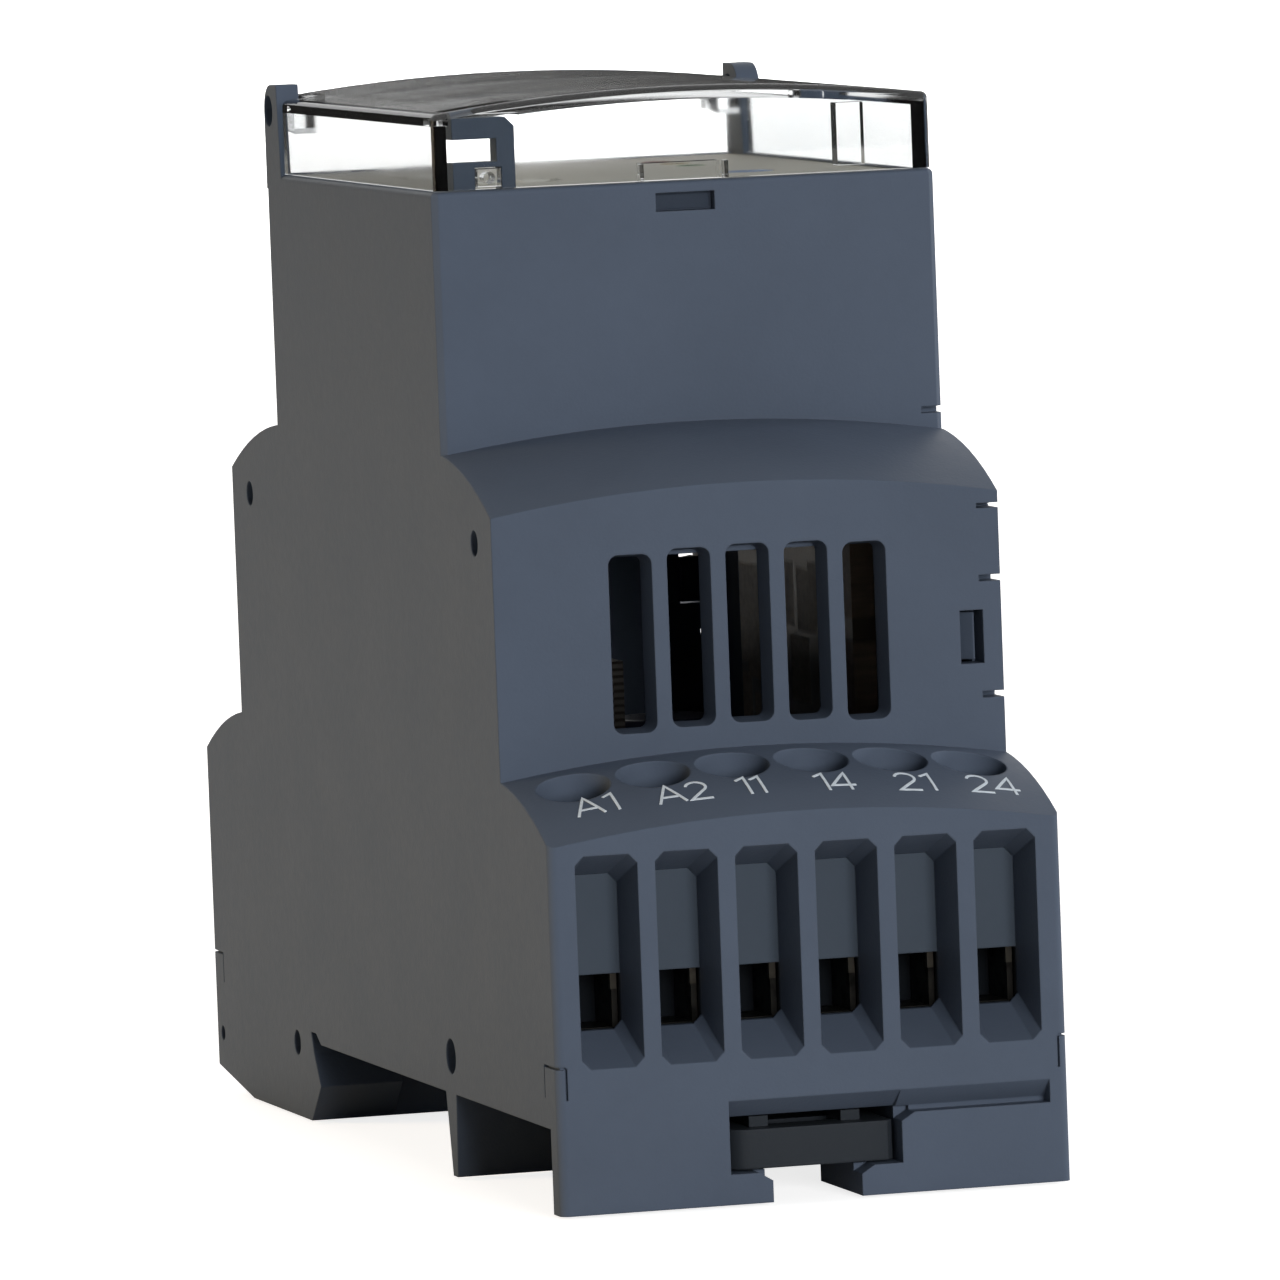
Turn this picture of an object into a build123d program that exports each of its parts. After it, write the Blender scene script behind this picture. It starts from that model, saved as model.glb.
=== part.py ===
from build123d import *
import os
from math import sqrt

os.makedirs("parts", exist_ok=True)

# Motor monitoring relay for a 35 mm rail. It lies on its back: +Z comes out of its front,
# Y is its height and X its width. The origin is at the middle of its back plane.

# Overall sizes of the stepped housing
width = 35.0
base_length = 90.0
middle_length = 68.0
nose_near = 22.6
nose_far = 21.1
nose_top = 66.15

# Walls
left_wall = 1.5
cover_plate = 1.5
nose_wall = 1.3
middle_wall = 2.0
base_wall = 1.9
terminal_wall = 4.0
floor_wall = 1.2
roof_wall = 3.2
cover_lip = 1.0

# Heights of the two rounded shoulders at the side faces, and their drop half way and all the way
upper_shoulder_top = 48.6
upper_shoulder_half_drop = 1.15
upper_shoulder_drop = 3.5
lower_shoulder_top = 27.6
lower_shoulder_half_drop = 1.15
lower_shoulder_drop = 3.45
crown_radius = 105.0

# Soft edges of the moulding, and how far a cut runs past an open side
nose_edge = 0.4
rim_edge_radius = 0.35
base_edge_radius = 0.6
cut_margin = 1.0

# Rail that the back takes, and the foot that hooks over its far edge
rail_width = 35.0
rail_flange = 1.0
rail_seat = 5.6
rail_far_play = 0.5
rail_near_play = 0.1
foot_notch_rise = 0.7
foot_notch_depth = 1.35
foot_throat_height = 4.87
foot_throat_back = 0.08
foot_tip_height = 2.63
foot_tip_reach = 1.65
foot_heel = 1.08
foot_ramp_run = 1.25
foot_lip_width = 5.9
foot_chamfer_length = 10.3
foot_chamfer_height = 1.62
web_top_width = 2.57
web_lead_in = 1.1
web_draft = 0.33
foot_wall = 1.8
foot_rib_width = 1.5
foot_hollow_height = 3.8

# Terminals, six in a row at each end
terminal_count = 6
terminal_pitch = 5.45
terminal_axis_inset = 7.1
window_width = 4.25
window_height = 14.0
window_bottom = 9.5
window_corner = 0.6
window_floor_rise = 2.2
window_roof_fall = 1.57
window_side_taper = 0.3
entry_height = 3.63
access_hole_diameter = 4.94

# Terminal carrier
carrier_front_wall = 0.6
carrier_rear_wall = 0.8
carrier_cell_width = 4.0
carrier_cell_depth = 4.6
carrier_top = 23.6
carrier_bottom = 9.0
carrier_gap = 0.05
carrier_end_gap = 0.1

# Screw, cage and contact bar
screw_radius = 1.4
screw_pitch = 0.5
screw_head_radius = 1.9
screw_head_height = 2.1
screw_slot_width = 0.7
screw_slot_depth = 1.1
screw_edge = 0.2
thread_clearance = 0.05
head_clearance = 0.1
screw_turns = 6
cage_width = 3.8
cage_depth = 3.9
cage_wall = 0.4
cage_floor = 0.9
cage_nut_height = 1.6
cage_clearance = 0.2
contact_width = 2.2
contact_thickness = 1.0
contact_tab_thickness = 0.42
contact_tab_outer = 1.72
contact_heel_inset = 1.6
contact_tab_drop = 1.1

# Vents in both walls of the middle step
vent_count = 5
vent_pitch = 4.04
vent_width = 3.0
vent_height = 11.85
vent_middle_height = 35.1
vent_corner = 0.7
vent_taper_degrees = 7.0

# Snap joint between housing and side cover
joint_clearance = 0.08
snap_hole_width = 1.62
snap_hole_height = 3.56
snap_hole_middle_height = 35.4
snap_hole_inset = 2.11
slit_height = 0.43
slit_spread = 7.75
upper_slit_height = 44.1
upper_slit_thickness = 0.34
snap_arm_thickness = 1.0
snap_bite = 1.3
snap_clearance = 0.2
nose_slit_height = 49.95
nose_slit_thickness = 0.45

# Small round holes in the left face: distance along Y, height and radius
side_holes = [
    (29.2, 43.4, 0.87),
    (-29.8, 43.2, 0.87),
    (42.95, 3.9, 0.53),
    (21.85, 5.2, 0.88),
    (-19.0, 8.1, 1.2),
]
side_hole_depth = 1.0

# Corner joint lines at the foot of the base
corner_line_height = 9.7
corner_line_thickness = 0.18
corner_line_depth = 0.3
corner_line_length = 2.9
corner_line_reach = 0.65
corner_leg_length = 2.1
corner_leg_width = 0.15

# Hinge ears at the far end of the nose
ear_thickness = 1.6
hinge_inset = 1.3
hinge_rise = 4.41
hinge_hole_radius = 1.1
ear_top_rise = 1.84
ear_far_width = 1.15
ear_near_width = 2.86
ear_near_top = 2.25
ear_top_round = 1.8
ear_foot_round = 0.4

# Clear cover
cover_gap = 0.08
cover_side_inset = 0.2
cover_wall = 1.1
cover_side_rise = 5.15
cover_arch = 1.2
cover_roof = 0.95
cover_edge_radius = 0.45
cover_ear_gap = 0.3
cover_peg_clearance = 0.08
cover_peg_inset = 0.8
cover_rib_place = 11.9
cover_rib_width = 1.9
cover_rib_depth = 1.2
cover_rib_gap = 0.4
cover_arm_width = 1.5
tongue_width = 5.9
tongue_slit = 0.28
tongue_slit_height = 1.15
tongue_reach = 2.2
tongue_thickness = 0.8
latch_slot_width = 4.1
latch_slot_height = 1.25
latch_slot_bottom = 64.15
tongue_swing = 0.45
tongue_bay_depth = 1.9
cover_tail = 1.3
cover_arm_rise = 2.85
cover_arm_radius = 1.3
post_pocket_gap = 0.3
post_pocket_depth = 0.85
seal_lug_gap = 0.12
seal_hole_radius = 0.4

# Seal post at the near left corner of the nose
post_width = 4.3
post_left_inset = 1.75
post_height = 4.8
post_root_depth = 3.0
post_depth = 1.6
post_upright = 1.25
post_top_bar = 1.4
post_foot_bar = 1.85
post_corner = 0.6
post_notch_width = 1.85
post_notch_height = 1.5
post_notch_side = 0.3

# Latch compartment and channel of the rail clip
channel_half_width = 5.9
channel_shelf_height = 2.0
channel_gap_half_width = 3.05
channel_chamfer_width = 0.9
channel_chamfer_height = 0.55
channel_shelf_length = 9.4
channel_wall = 1.2
channel_mouth_height = 6.85
channel_slot_reach = 16.17
channel_slot_bottom = 5.3
channel_slot_skin = 0.5

# Rail clip
clip_front_inset = 1.0
clip_height = 2.6
clip_side_gap = 0.3
clip_shelf_gap = 0.15
clip_front_radius = 1.6
clip_tongue_width = 7.4
clip_bite = 1.6
clip_travel = 2.4
clip_slot_width = 5.0
clip_slot_length = 2.2
clip_back = 21.5
clip_edge = 0.4
clip_arm_width = 1.1
clip_arm_slit = 0.7
clip_arm_length = 12.0
clip_flange_gap = 0.15
clip_tip_height = 1.2
clip_stop_gap = 0.3
catch_length = 2.0
catch_depth = 0.5
catch_place = 31.0

# Front panel and what shows in it
panel_thickness = 1.2
panel_gap = 0.08
panel_sink = 0.1
ledge_height = 1.0
ledge_width = 0.8
ear_bay_gap = 0.3
running_clearance = 0.06
panel_post_radius = 1.6
panel_post_inset_x = 3.4
panel_post_inset_y = 3.6
knob_radius = 2.6
knob_bore_gap = 0.15
knob_head_height = 2.2
knob_slot_width = 0.8
knob_slot_depth = 0.9
knob_slot_reach = 1.7
knob_pointer_width = 1.6
knob_neck_radius = 1.4
trimmer_floor = 0.8
trimmer_body = 6.6
trimmer_height = 4.4
selector_place = (-8.0, -8.0)
delay_place = (-8.0, 5.0)
button_place = (8.0, -10.0)
button_radius = 1.8
button_travel = 0.6
button_gap = 0.12
switch_body = 6.0
switch_height = 3.4
stem_radius = 0.8
stem_depth = 1.6
light_radius = 1.0
light_place = (8.0, 8.0)
light_pitch = 4.0
light_names = ["power_light", "relay_light", "fault_light"]

# Circuit boards and the large parts on them
board_thickness = 1.6
base_board_height = 8.0
base_board_end_gap = 1.95
board_rib_inset = 5.0
board_side_gap = 0.4
board_rib_width = 2.0
front_board_height = 56.4
riser_place_x = 11.4
riser_near = 20.0
riser_far = 6.4
relay_size = (12.0, 28.5, 15.4)
relay_edge = 0.5
relay_places_x = [-9.2, 3.2]
relay_contact_gap = 1.15
transformer_width = 17.0
transformer_height = 22.5
transformer_place_x = -6.5
transformer_relay_gap = 3.75
transformer_contact_gap = 5.4
bobbin_overhang = 1.6
bobbin_inset = 1.2
capacitor_radius = 4.0
capacitor_height = 18.0
capacitor_place_x = 6.7
capacitor_offset = 4.5
capacitor_edge = 0.5

# Values that follow from the sizes above
half_width = width / 2
cage_lift = screw_turns * screw_pitch
half_base = base_length / 2
half_middle = middle_length / 2
nose_reach = {-1: nose_near, 1: nose_far}
nose_middle = (nose_far - nose_near) / 2
inner_left = -half_width + left_wall
inner_right = half_width - cover_plate
crown_rise = crown_radius - sqrt(crown_radius**2 - half_width**2)
floor_top = rail_seat + floor_wall
terminal_face = half_base - terminal_wall
terminal_y = half_base - terminal_axis_inset
carrier_front = terminal_face - carrier_gap
carrier_back = carrier_front - carrier_front_wall - carrier_cell_depth - carrier_rear_wall
base_board_half_length = carrier_back - base_board_end_gap
contact_heel = base_board_half_length - contact_heel_inset
relay_far = relay_contact_gap + relay_size[1] - contact_heel
transformer_near = relay_far + transformer_relay_gap
transformer_far = contact_heel - transformer_contact_gap
transformer_length = transformer_far - transformer_near
transformer_y = (transformer_far + transformer_near) / 2
cell_front = carrier_front - carrier_front_wall
cell_back = cell_front - carrier_cell_depth
entry_bottom = window_bottom + window_floor_rise
entry_top = entry_bottom + entry_height
inner_window_top = window_bottom + window_height - window_roof_fall
inner_window_width = window_width - 2 * window_side_taper
contact_bottom = entry_top
contact_top = contact_bottom + contact_thickness
cage_rest = entry_bottom - cage_floor
cage_inner_top = contact_top + cage_clearance
cage_top = cage_inner_top + cage_nut_height
screw_head_bottom = cage_top + cage_lift + cage_clearance
screw_top = screw_head_bottom + screw_head_height
hinge_y = nose_far - hinge_inset
hinge_height = nose_top + hinge_rise
cover_side_height = nose_top + cover_side_rise
cover_crown_height = cover_side_height + cover_arch
cover_arm_bottom = nose_top + cover_arm_rise
rail_edge = rail_width / 2
web_inner = rail_edge - rail_near_play
front_board_top = front_board_height + board_thickness
base_board_top = base_board_height + board_thickness
panel_top = nose_top - panel_sink
panel_bottom = panel_top - panel_thickness
post_left = -half_width + post_left_inset
post_right = post_left + post_width
post_top = nose_top + post_height
post_root = nose_top - post_root_depth
seal_lug_middle = post_right - post_upright + post_notch_side - post_notch_width / 2
ear_outline = [
    (hinge_y - ear_near_width, nose_top - ledge_height),
    (hinge_y + ear_far_width, nose_top - ledge_height),
    (hinge_y + ear_far_width, hinge_height + ear_top_rise),
    (hinge_y - ear_near_top, hinge_height + ear_top_rise),
]
cover_bottom = nose_top + cover_gap
cover_half_width = half_width - cover_side_inset
clip_bottom = channel_shelf_height + clip_shelf_gap
clip_top = clip_bottom + clip_height
clip_half_width = channel_half_width - clip_side_gap
clip_front = half_base - clip_front_inset
web_outer = web_inner + web_top_width
carrier_length = inner_right - inner_left - 2 * carrier_end_gap
terminal_places = [
    (i - (terminal_count - 1) / 2) * terminal_pitch
    for i in range(terminal_count)
]
vent_places = [(i - (vent_count - 1) / 2) * vent_pitch for i in range(vent_count)]


def crown(x):
    """Height that the arched shoulders gain at x over their height at the side faces."""
    return sqrt(crown_radius**2 - x**2) - sqrt(crown_radius**2 - half_width**2)


def end_plane(end, distance):
    """Plane at a distance along Y towards one end, facing that end, with Z up in it."""
    return Plane((0, end * distance, 0), x_dir=(-end, 0, 0), z_dir=(0, end, 0))


# Lower step of the body: a section along Y turned about an axis far below, so that its
# top is arched across the width
with BuildPart() as lower_step:
    with BuildSketch(Plane.YZ):
        with BuildLine():
            Polyline(
                (-half_base, lower_shoulder_top - lower_shoulder_drop + crown_rise),
                (-half_base, 0),
                (half_base, 0),
                (half_base, lower_shoulder_top - lower_shoulder_drop + crown_rise),
            )
            for side in (-1, 1):
                ThreePointArc(
                    (side * half_base, lower_shoulder_top - lower_shoulder_drop + crown_rise),
                    (
                        side * (half_base + half_middle) / 2,
                        lower_shoulder_top - lower_shoulder_half_drop + crown_rise,
                    ),
                    (side * half_middle, lower_shoulder_top + crown_rise),
                )
            Line(
                (-half_middle, lower_shoulder_top + crown_rise),
                (half_middle, lower_shoulder_top + crown_rise),
            )
        make_face()
    revolve(axis=Axis((0, 0, lower_shoulder_top + crown_rise - crown_radius), (0, 1, 0)))
    with BuildSketch(Plane.XY):
        RectangleRounded(width, base_length, base_edge_radius)
    extrude(amount=lower_shoulder_top + 2 * crown_rise, mode=Mode.INTERSECT)

# Middle step of the body, made the same way
with BuildPart() as middle_step:
    with BuildSketch(Plane.YZ):
        with BuildLine():
            Polyline(
                (-half_middle, upper_shoulder_top - upper_shoulder_drop + crown_rise),
                (-half_middle, lower_shoulder_top - lower_shoulder_drop),
                (half_middle, lower_shoulder_top - lower_shoulder_drop),
                (half_middle, upper_shoulder_top - upper_shoulder_drop + crown_rise),
            )
            for side in (-1, 1):
                ThreePointArc(
                    (side * half_middle, upper_shoulder_top - upper_shoulder_drop + crown_rise),
                    (
                        side * (half_middle + nose_reach[side]) / 2,
                        upper_shoulder_top - upper_shoulder_half_drop + crown_rise,
                    ),
                    (side * nose_reach[side], upper_shoulder_top + crown_rise),
                )
            Line(
                (-nose_near, upper_shoulder_top + crown_rise),
                (nose_far, upper_shoulder_top + crown_rise),
            )
        make_face()
    revolve(axis=Axis((0, 0, upper_shoulder_top + crown_rise - crown_radius), (0, 1, 0)))
    with BuildSketch(Plane.XY.offset(lower_shoulder_top - lower_shoulder_drop)):
        Rectangle(width, middle_length)
    extrude(amount=upper_shoulder_top - lower_shoulder_top + 2 * crown_rise + lower_shoulder_drop,
            mode=Mode.INTERSECT)

# Nose with soft upright edges and a soft rim
with BuildPart() as nose_block:
    with BuildSketch(Plane.XY.offset(upper_shoulder_top - upper_shoulder_drop)) as nose_plan:
        with Locations((0, nose_middle)):
            Rectangle(width, nose_near + nose_far)
        chamfer(nose_plan.vertices(), length=nose_edge)
    extrude(amount=nose_top - upper_shoulder_top + upper_shoulder_drop)
    fillet(nose_block.faces().sort_by(Axis.Z)[-1].edges(), radius=rim_edge_radius)

# Outline of the opening that the side cover closes, drawn on a plane across X
def side_outline(grow):
    """Corner points, as distance along Y and height, of the side opening grown outwards."""
    outline = []
    for end in (-1, 1):
        half_low = half_base - base_wall + grow
        half_mid = half_middle - middle_wall + grow
        half_top = nose_reach[end] - nose_wall + grow
        shoulder_low = lower_shoulder_top - cover_lip + grow
        shoulder_mid = upper_shoulder_top - upper_shoulder_drop - cover_lip + grow
        corners = [
            (end * half_low, floor_top - grow),
            (end * half_low, shoulder_low - lower_shoulder_drop),
            (end * half_mid, shoulder_low),
            (end * half_mid, shoulder_mid),
            (end * half_top, upper_shoulder_top - cover_lip + grow),
            (end * half_top, nose_top),
        ]
        outline += corners[::end]
    return outline


# Housing: left wall, both stepped ends and the base in one moulding, open to the right
with BuildPart() as housing:
    add(lower_step.part)
    add(middle_step.part)
    add(nose_block.part)

    # Cavity, with the ledges that the terminal carriers stand on
    with BuildSketch(Plane.YZ.offset(inner_left)):
        with BuildLine():
            cavity = []
            for end in (-1, 1):
                end_mid = end * (half_middle - middle_wall)
                end_top = end * (nose_reach[end] - nose_wall)
                end_floor = end * (carrier_back - board_side_gap)
                corners = [
                    (end_floor, floor_top),
                    (end_floor, carrier_bottom),
                    (end * terminal_face, carrier_bottom),
                    (end * terminal_face, carrier_top + carrier_end_gap),
                    (end_mid, carrier_top + carrier_end_gap),
                    (end_mid, upper_shoulder_top - upper_shoulder_drop - roof_wall),
                    (end_top, upper_shoulder_top - roof_wall),
                    (end_top, nose_top + cut_margin),
                ]
                cavity += corners[::end]
            Polyline(*cavity, close=True)
        make_face()
    extrude(amount=width, mode=Mode.SUBTRACT)

    # Step that the side cover lies in
    with BuildSketch(Plane.YZ.offset(inner_right)):
        with BuildLine():
            Polyline(*side_outline(0), close=True)
        make_face()
    extrude(amount=cover_plate, mode=Mode.SUBTRACT)

    # Latch compartment under the near half
    with BuildSketch(Plane.YZ):
        Polygon(
            (-half_base + base_wall, 0),
            (-half_base + base_wall, rail_seat),
            (-web_outer, rail_seat),
            (-web_outer + web_draft, 0),
            align=None,
        )
    extrude(amount=half_width, both=True, mode=Mode.SUBTRACT)

    # Rail recess with the far hook that holds the rail's edge
    with BuildSketch(Plane.YZ):
        Polygon(
            (-web_inner, rail_seat),
            (rail_edge + rail_far_play - foot_notch_depth - foot_ramp_run, rail_seat),
            (rail_edge + rail_far_play - foot_notch_depth, rail_seat + foot_notch_rise),
            (rail_edge + rail_far_play, rail_seat + foot_notch_rise),
            (rail_edge - foot_throat_back, foot_throat_height),
            (rail_edge - foot_tip_reach, foot_tip_height),
            (rail_edge + foot_heel, 0),
            (-web_inner - web_lead_in, 0),
            align=None,
        )
    extrude(amount=half_width, both=True, mode=Mode.SUBTRACT)

    # Between the two hooks the foot stands back from the rail's edge
    with BuildSketch(Plane.XY):
        Polygon(
            (-half_width + foot_lip_width, 0),
            (half_width - foot_lip_width, 0),
            (half_width - foot_lip_width, rail_edge + foot_heel),
            (-half_width + foot_lip_width, rail_edge + foot_heel),
            align=None,
        )
    extrude(amount=rail_seat, mode=Mode.SUBTRACT)

    # Slanted underside and hollow of the far foot
    with BuildSketch(Plane.YZ):
        Polygon(
            (half_base, foot_chamfer_height),
            (half_base, 0),
            (half_base - foot_chamfer_length, 0),
            align=None,
        )
    extrude(amount=half_width, both=True, mode=Mode.SUBTRACT)
    foot_front = rail_edge + foot_heel + foot_wall
    foot_back = half_base - base_wall
    foot_bay = (width - 2 * foot_wall - foot_rib_width) / 2
    with BuildSketch(Plane.XY):
        with Locations((0, (foot_front + foot_back) / 2)):
            with GridLocations(foot_bay + foot_rib_width, 0, 2, 1):
                Rectangle(foot_bay, foot_back - foot_front)
    extrude(amount=foot_hollow_height, mode=Mode.SUBTRACT)

    # Guides that carry the rail clip: upright walls with shelves at the mouth
    with BuildSketch(Plane.XY):
        for side in (-1, 1):
            with Locations((side * (channel_half_width + channel_wall / 2), 0)):
                with Locations((0, (-half_base + base_wall - web_outer) / 2)):
                    Rectangle(channel_wall, half_base - base_wall - web_outer)
    extrude(amount=rail_seat)
    with BuildSketch(Plane.XY):
        for side in (-1, 1):
            with Locations((side * (channel_gap_half_width + channel_half_width) / 2, 0)):
                with Locations((0, -half_base + channel_shelf_length / 2)):
                    Rectangle(channel_half_width - channel_gap_half_width, channel_shelf_length)
    extrude(amount=channel_shelf_height)

    # Mouth of the channel in the near wall, with its long slot to the right
    with BuildSketch(end_plane(-1, half_base)):
        Polygon(
            (-channel_half_width, channel_shelf_height),
            (-channel_gap_half_width - channel_chamfer_width, channel_shelf_height),
            (-channel_gap_half_width, channel_shelf_height - channel_chamfer_height),
            (-channel_gap_half_width, 0),
            (channel_gap_half_width, 0),
            (channel_gap_half_width, channel_shelf_height - channel_chamfer_height),
            (channel_gap_half_width + channel_chamfer_width, channel_shelf_height),
            (channel_half_width, channel_shelf_height),
            (channel_half_width, channel_slot_bottom - channel_chamfer_height),
            (channel_half_width + channel_chamfer_width, channel_slot_bottom),
            (channel_half_width + channel_chamfer_width, rail_seat),
            (-channel_half_width, rail_seat),
            align=None,
        )
    extrude(amount=-base_wall, mode=Mode.SUBTRACT)
    with BuildSketch(Plane.YZ.offset(-channel_half_width)):
        Polygon(
            (-half_base, channel_slot_bottom),
            (-half_base, channel_mouth_height),
            (-half_base + base_wall, rail_seat),
            (-half_base + base_wall, channel_slot_bottom),
            align=None,
        )
    extrude(amount=2 * channel_half_width, mode=Mode.SUBTRACT)
    with BuildSketch(Plane.YZ.offset(channel_half_width)):
        Polygon(
            (-half_base, channel_slot_bottom),
            (-half_base, channel_mouth_height),
            (-half_base + base_wall - channel_slot_skin, rail_seat),
            (-half_base + base_wall - channel_slot_skin, channel_slot_bottom),
            align=None,
        )
    extrude(amount=channel_slot_reach - channel_half_width, mode=Mode.SUBTRACT)
    with BuildSketch(Plane.XZ.offset(web_inner)):
        with Locations((0, rail_seat / 2)):
            Rectangle(clip_tongue_width + 2 * clip_side_gap, rail_seat)
    extrude(amount=web_top_width + channel_wall, mode=Mode.SUBTRACT)

    # Notches in the guides that the clip's side catches run in
    with BuildSketch(Plane.XY.offset(clip_bottom - clip_shelf_gap)):
        catch_run = catch_length + clip_travel + 2 * clip_stop_gap
        with Locations((0, -catch_place + clip_stop_gap - (catch_run - catch_length) / 2)):
            Rectangle(2 * (channel_half_width + catch_depth), catch_run)
    extrude(amount=rail_seat - clip_bottom + clip_shelf_gap, mode=Mode.SUBTRACT)

    for end in (-1, 1):
        # Terminal windows, narrowing inwards
        for place in terminal_places:
            with BuildSketch(end_plane(end, half_base)) as window_mouth:
                with Locations((-end * place, window_bottom + window_height / 2)):
                    Rectangle(window_width, window_height)
                chamfer(window_mouth.vertices(), length=window_corner)
            with BuildSketch(end_plane(end, terminal_face)) as window_end:
                with Locations((-end * place, (entry_bottom + inner_window_top) / 2)):
                    Rectangle(inner_window_width, inner_window_top - entry_bottom)
                chamfer(window_end.vertices(), length=window_corner)
            loft(mode=Mode.SUBTRACT)

        # Round holes in the lower shoulder, over the terminal screws
        with BuildSketch(Plane.XY.offset(carrier_top)):
            for place in terminal_places:
                with Locations((place, end * terminal_y)):
                    Circle(access_hole_diameter / 2)
        extrude(amount=lower_shoulder_top + crown_rise - carrier_top, mode=Mode.SUBTRACT)

        # Vents of the middle step, each following the arch of the shoulders
        for place in vent_places:
            with BuildSketch(end_plane(end, half_middle)):
                with Locations((-end * place, vent_middle_height + crown(place))):
                    RectangleRounded(vent_width, vent_height, vent_corner)
            extrude(amount=-middle_wall, taper=vent_taper_degrees, mode=Mode.SUBTRACT)

        # Snap hole and the slits that free its tongue, at the open side
        with BuildSketch(end_plane(end, half_middle)):
            with Locations((-end * (half_width - snap_hole_inset), snap_hole_middle_height)):
                Rectangle(snap_hole_width, snap_hole_height)
            with Locations((-end * (half_width - cover_plate / 2), snap_hole_middle_height)):
                with GridLocations(0, slit_spread, 1, 2):
                    Rectangle(cover_plate, slit_height)
            with Locations((-end * (half_width - cover_plate / 2), upper_slit_height)):
                Rectangle(cover_plate, upper_slit_thickness)
        extrude(amount=-middle_wall, mode=Mode.SUBTRACT)
        with BuildSketch(end_plane(end, nose_reach[end])):
            with Locations((-end * (half_width - cover_plate / 2), nose_slit_height)):
                Rectangle(cover_plate, nose_slit_thickness)
        extrude(amount=-nose_wall, mode=Mode.SUBTRACT)

        # Ledges that carry the front panel
        with BuildSketch(Plane.XY.offset(panel_bottom - ledge_height)):
            ledge_y = end * (nose_reach[end] - nose_wall - ledge_width / 2)
            with Locations(((inner_left + inner_right) / 2, ledge_y)):
                Rectangle(inner_right - inner_left, ledge_width)
        extrude(amount=ledge_height)

        # Ribs that carry the base board
        with BuildSketch(Plane.XY.offset(floor_top)):
            with Locations((0, end * (base_board_half_length - board_rib_inset))):
                Rectangle(inner_right - inner_left, board_rib_width)
        extrude(amount=base_board_height - floor_top)

    # Slot in the nose for the latch tongue, and the gap in the ledge behind it
    with BuildSketch(end_plane(-1, nose_near)):
        with Locations((0, latch_slot_bottom + latch_slot_height / 2)):
            Rectangle(latch_slot_width, latch_slot_height)
    extrude(amount=-nose_wall, mode=Mode.SUBTRACT)
    with BuildSketch(Plane.XY.offset(panel_bottom - ledge_height)):
        with Locations((0, -nose_near + nose_wall + tongue_bay_depth / 2)):
            Rectangle(tongue_width + 2 * tongue_slit, tongue_bay_depth)
    extrude(amount=ledge_height, mode=Mode.SUBTRACT)

    # Small holes in the left face
    with BuildSketch(Plane.YZ.offset(-half_width)):
        for along, height, radius in side_holes:
            with Locations((along, height)):
                Circle(radius)
    extrude(amount=side_hole_depth, mode=Mode.SUBTRACT)

    # Fine joint lines around the four lower corners
    for end in (-1, 1):
        for side in (-1, 1):
            corner = (side * half_width, end * half_base)
            with BuildSketch(Plane.XY.offset(corner_line_height - corner_line_thickness / 2)):
                with Locations(corner):
                    Rectangle(2 * corner_line_reach, 2 * corner_line_depth)
                    Rectangle(2 * corner_line_depth, 2 * corner_line_length)
            extrude(amount=corner_line_thickness, mode=Mode.SUBTRACT)
            with BuildSketch(Plane.XY.offset(corner_line_height - corner_leg_length)):
                with Locations((side * (half_width - corner_line_reach), end * half_base)):
                    Rectangle(corner_leg_width, 2 * corner_line_depth)
                if side < 0:
                    with Locations((-half_width, end * (half_base - corner_line_length))):
                        Rectangle(2 * corner_line_depth, corner_leg_width)
            extrude(amount=corner_leg_length, mode=Mode.SUBTRACT)

    # Ear for the cover's hinge peg, on the left wall
    with BuildSketch(Plane.YZ.offset(-half_width)) as left_ear:
        Polygon(*ear_outline, align=None)
        far_top = left_ear.vertices().sort_by(Axis.Y)[-2:].sort_by(Axis.X)[-1]
        fillet(far_top, radius=ear_top_round)
        near_foot = left_ear.vertices().sort_by(Axis.Y)[:2].sort_by(Axis.X)[0]
        fillet(near_foot, radius=ear_foot_round)
        with Locations((hinge_y, hinge_height)):
            Circle(hinge_hole_radius, mode=Mode.SUBTRACT)
    extrude(amount=ear_thickness)

    # Seal post in the near left corner of the nose
    with BuildSketch(Plane.XZ.offset(nose_near - nose_wall - post_depth)):
        with BuildLine():
            Polyline(
                (post_left, post_root),
                (post_right, post_root),
                (post_right, post_top - post_corner),
                (post_right - post_corner, post_top),
                (post_left, post_top),
                (post_left, post_top - post_top_bar),
                (post_right - post_upright, post_top - post_top_bar),
                (post_right - post_upright, nose_top + post_foot_bar),
                (post_left, nose_top + post_foot_bar),
                close=True,
            )
        make_face()
        Polygon(
            (post_right - post_upright + post_notch_side, nose_top),
            (post_right - post_upright + post_notch_side, nose_top + post_notch_height),
            (post_right - post_upright + post_notch_side - post_notch_width, nose_top + post_notch_height),
            (post_right - post_upright + post_notch_side - post_notch_width, nose_top),
            align=None,
            mode=Mode.SUBTRACT,
        )
    extrude(amount=post_depth)
housing.part.label = "housing"
export_step(housing.part, "parts/housing.step")

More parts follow.
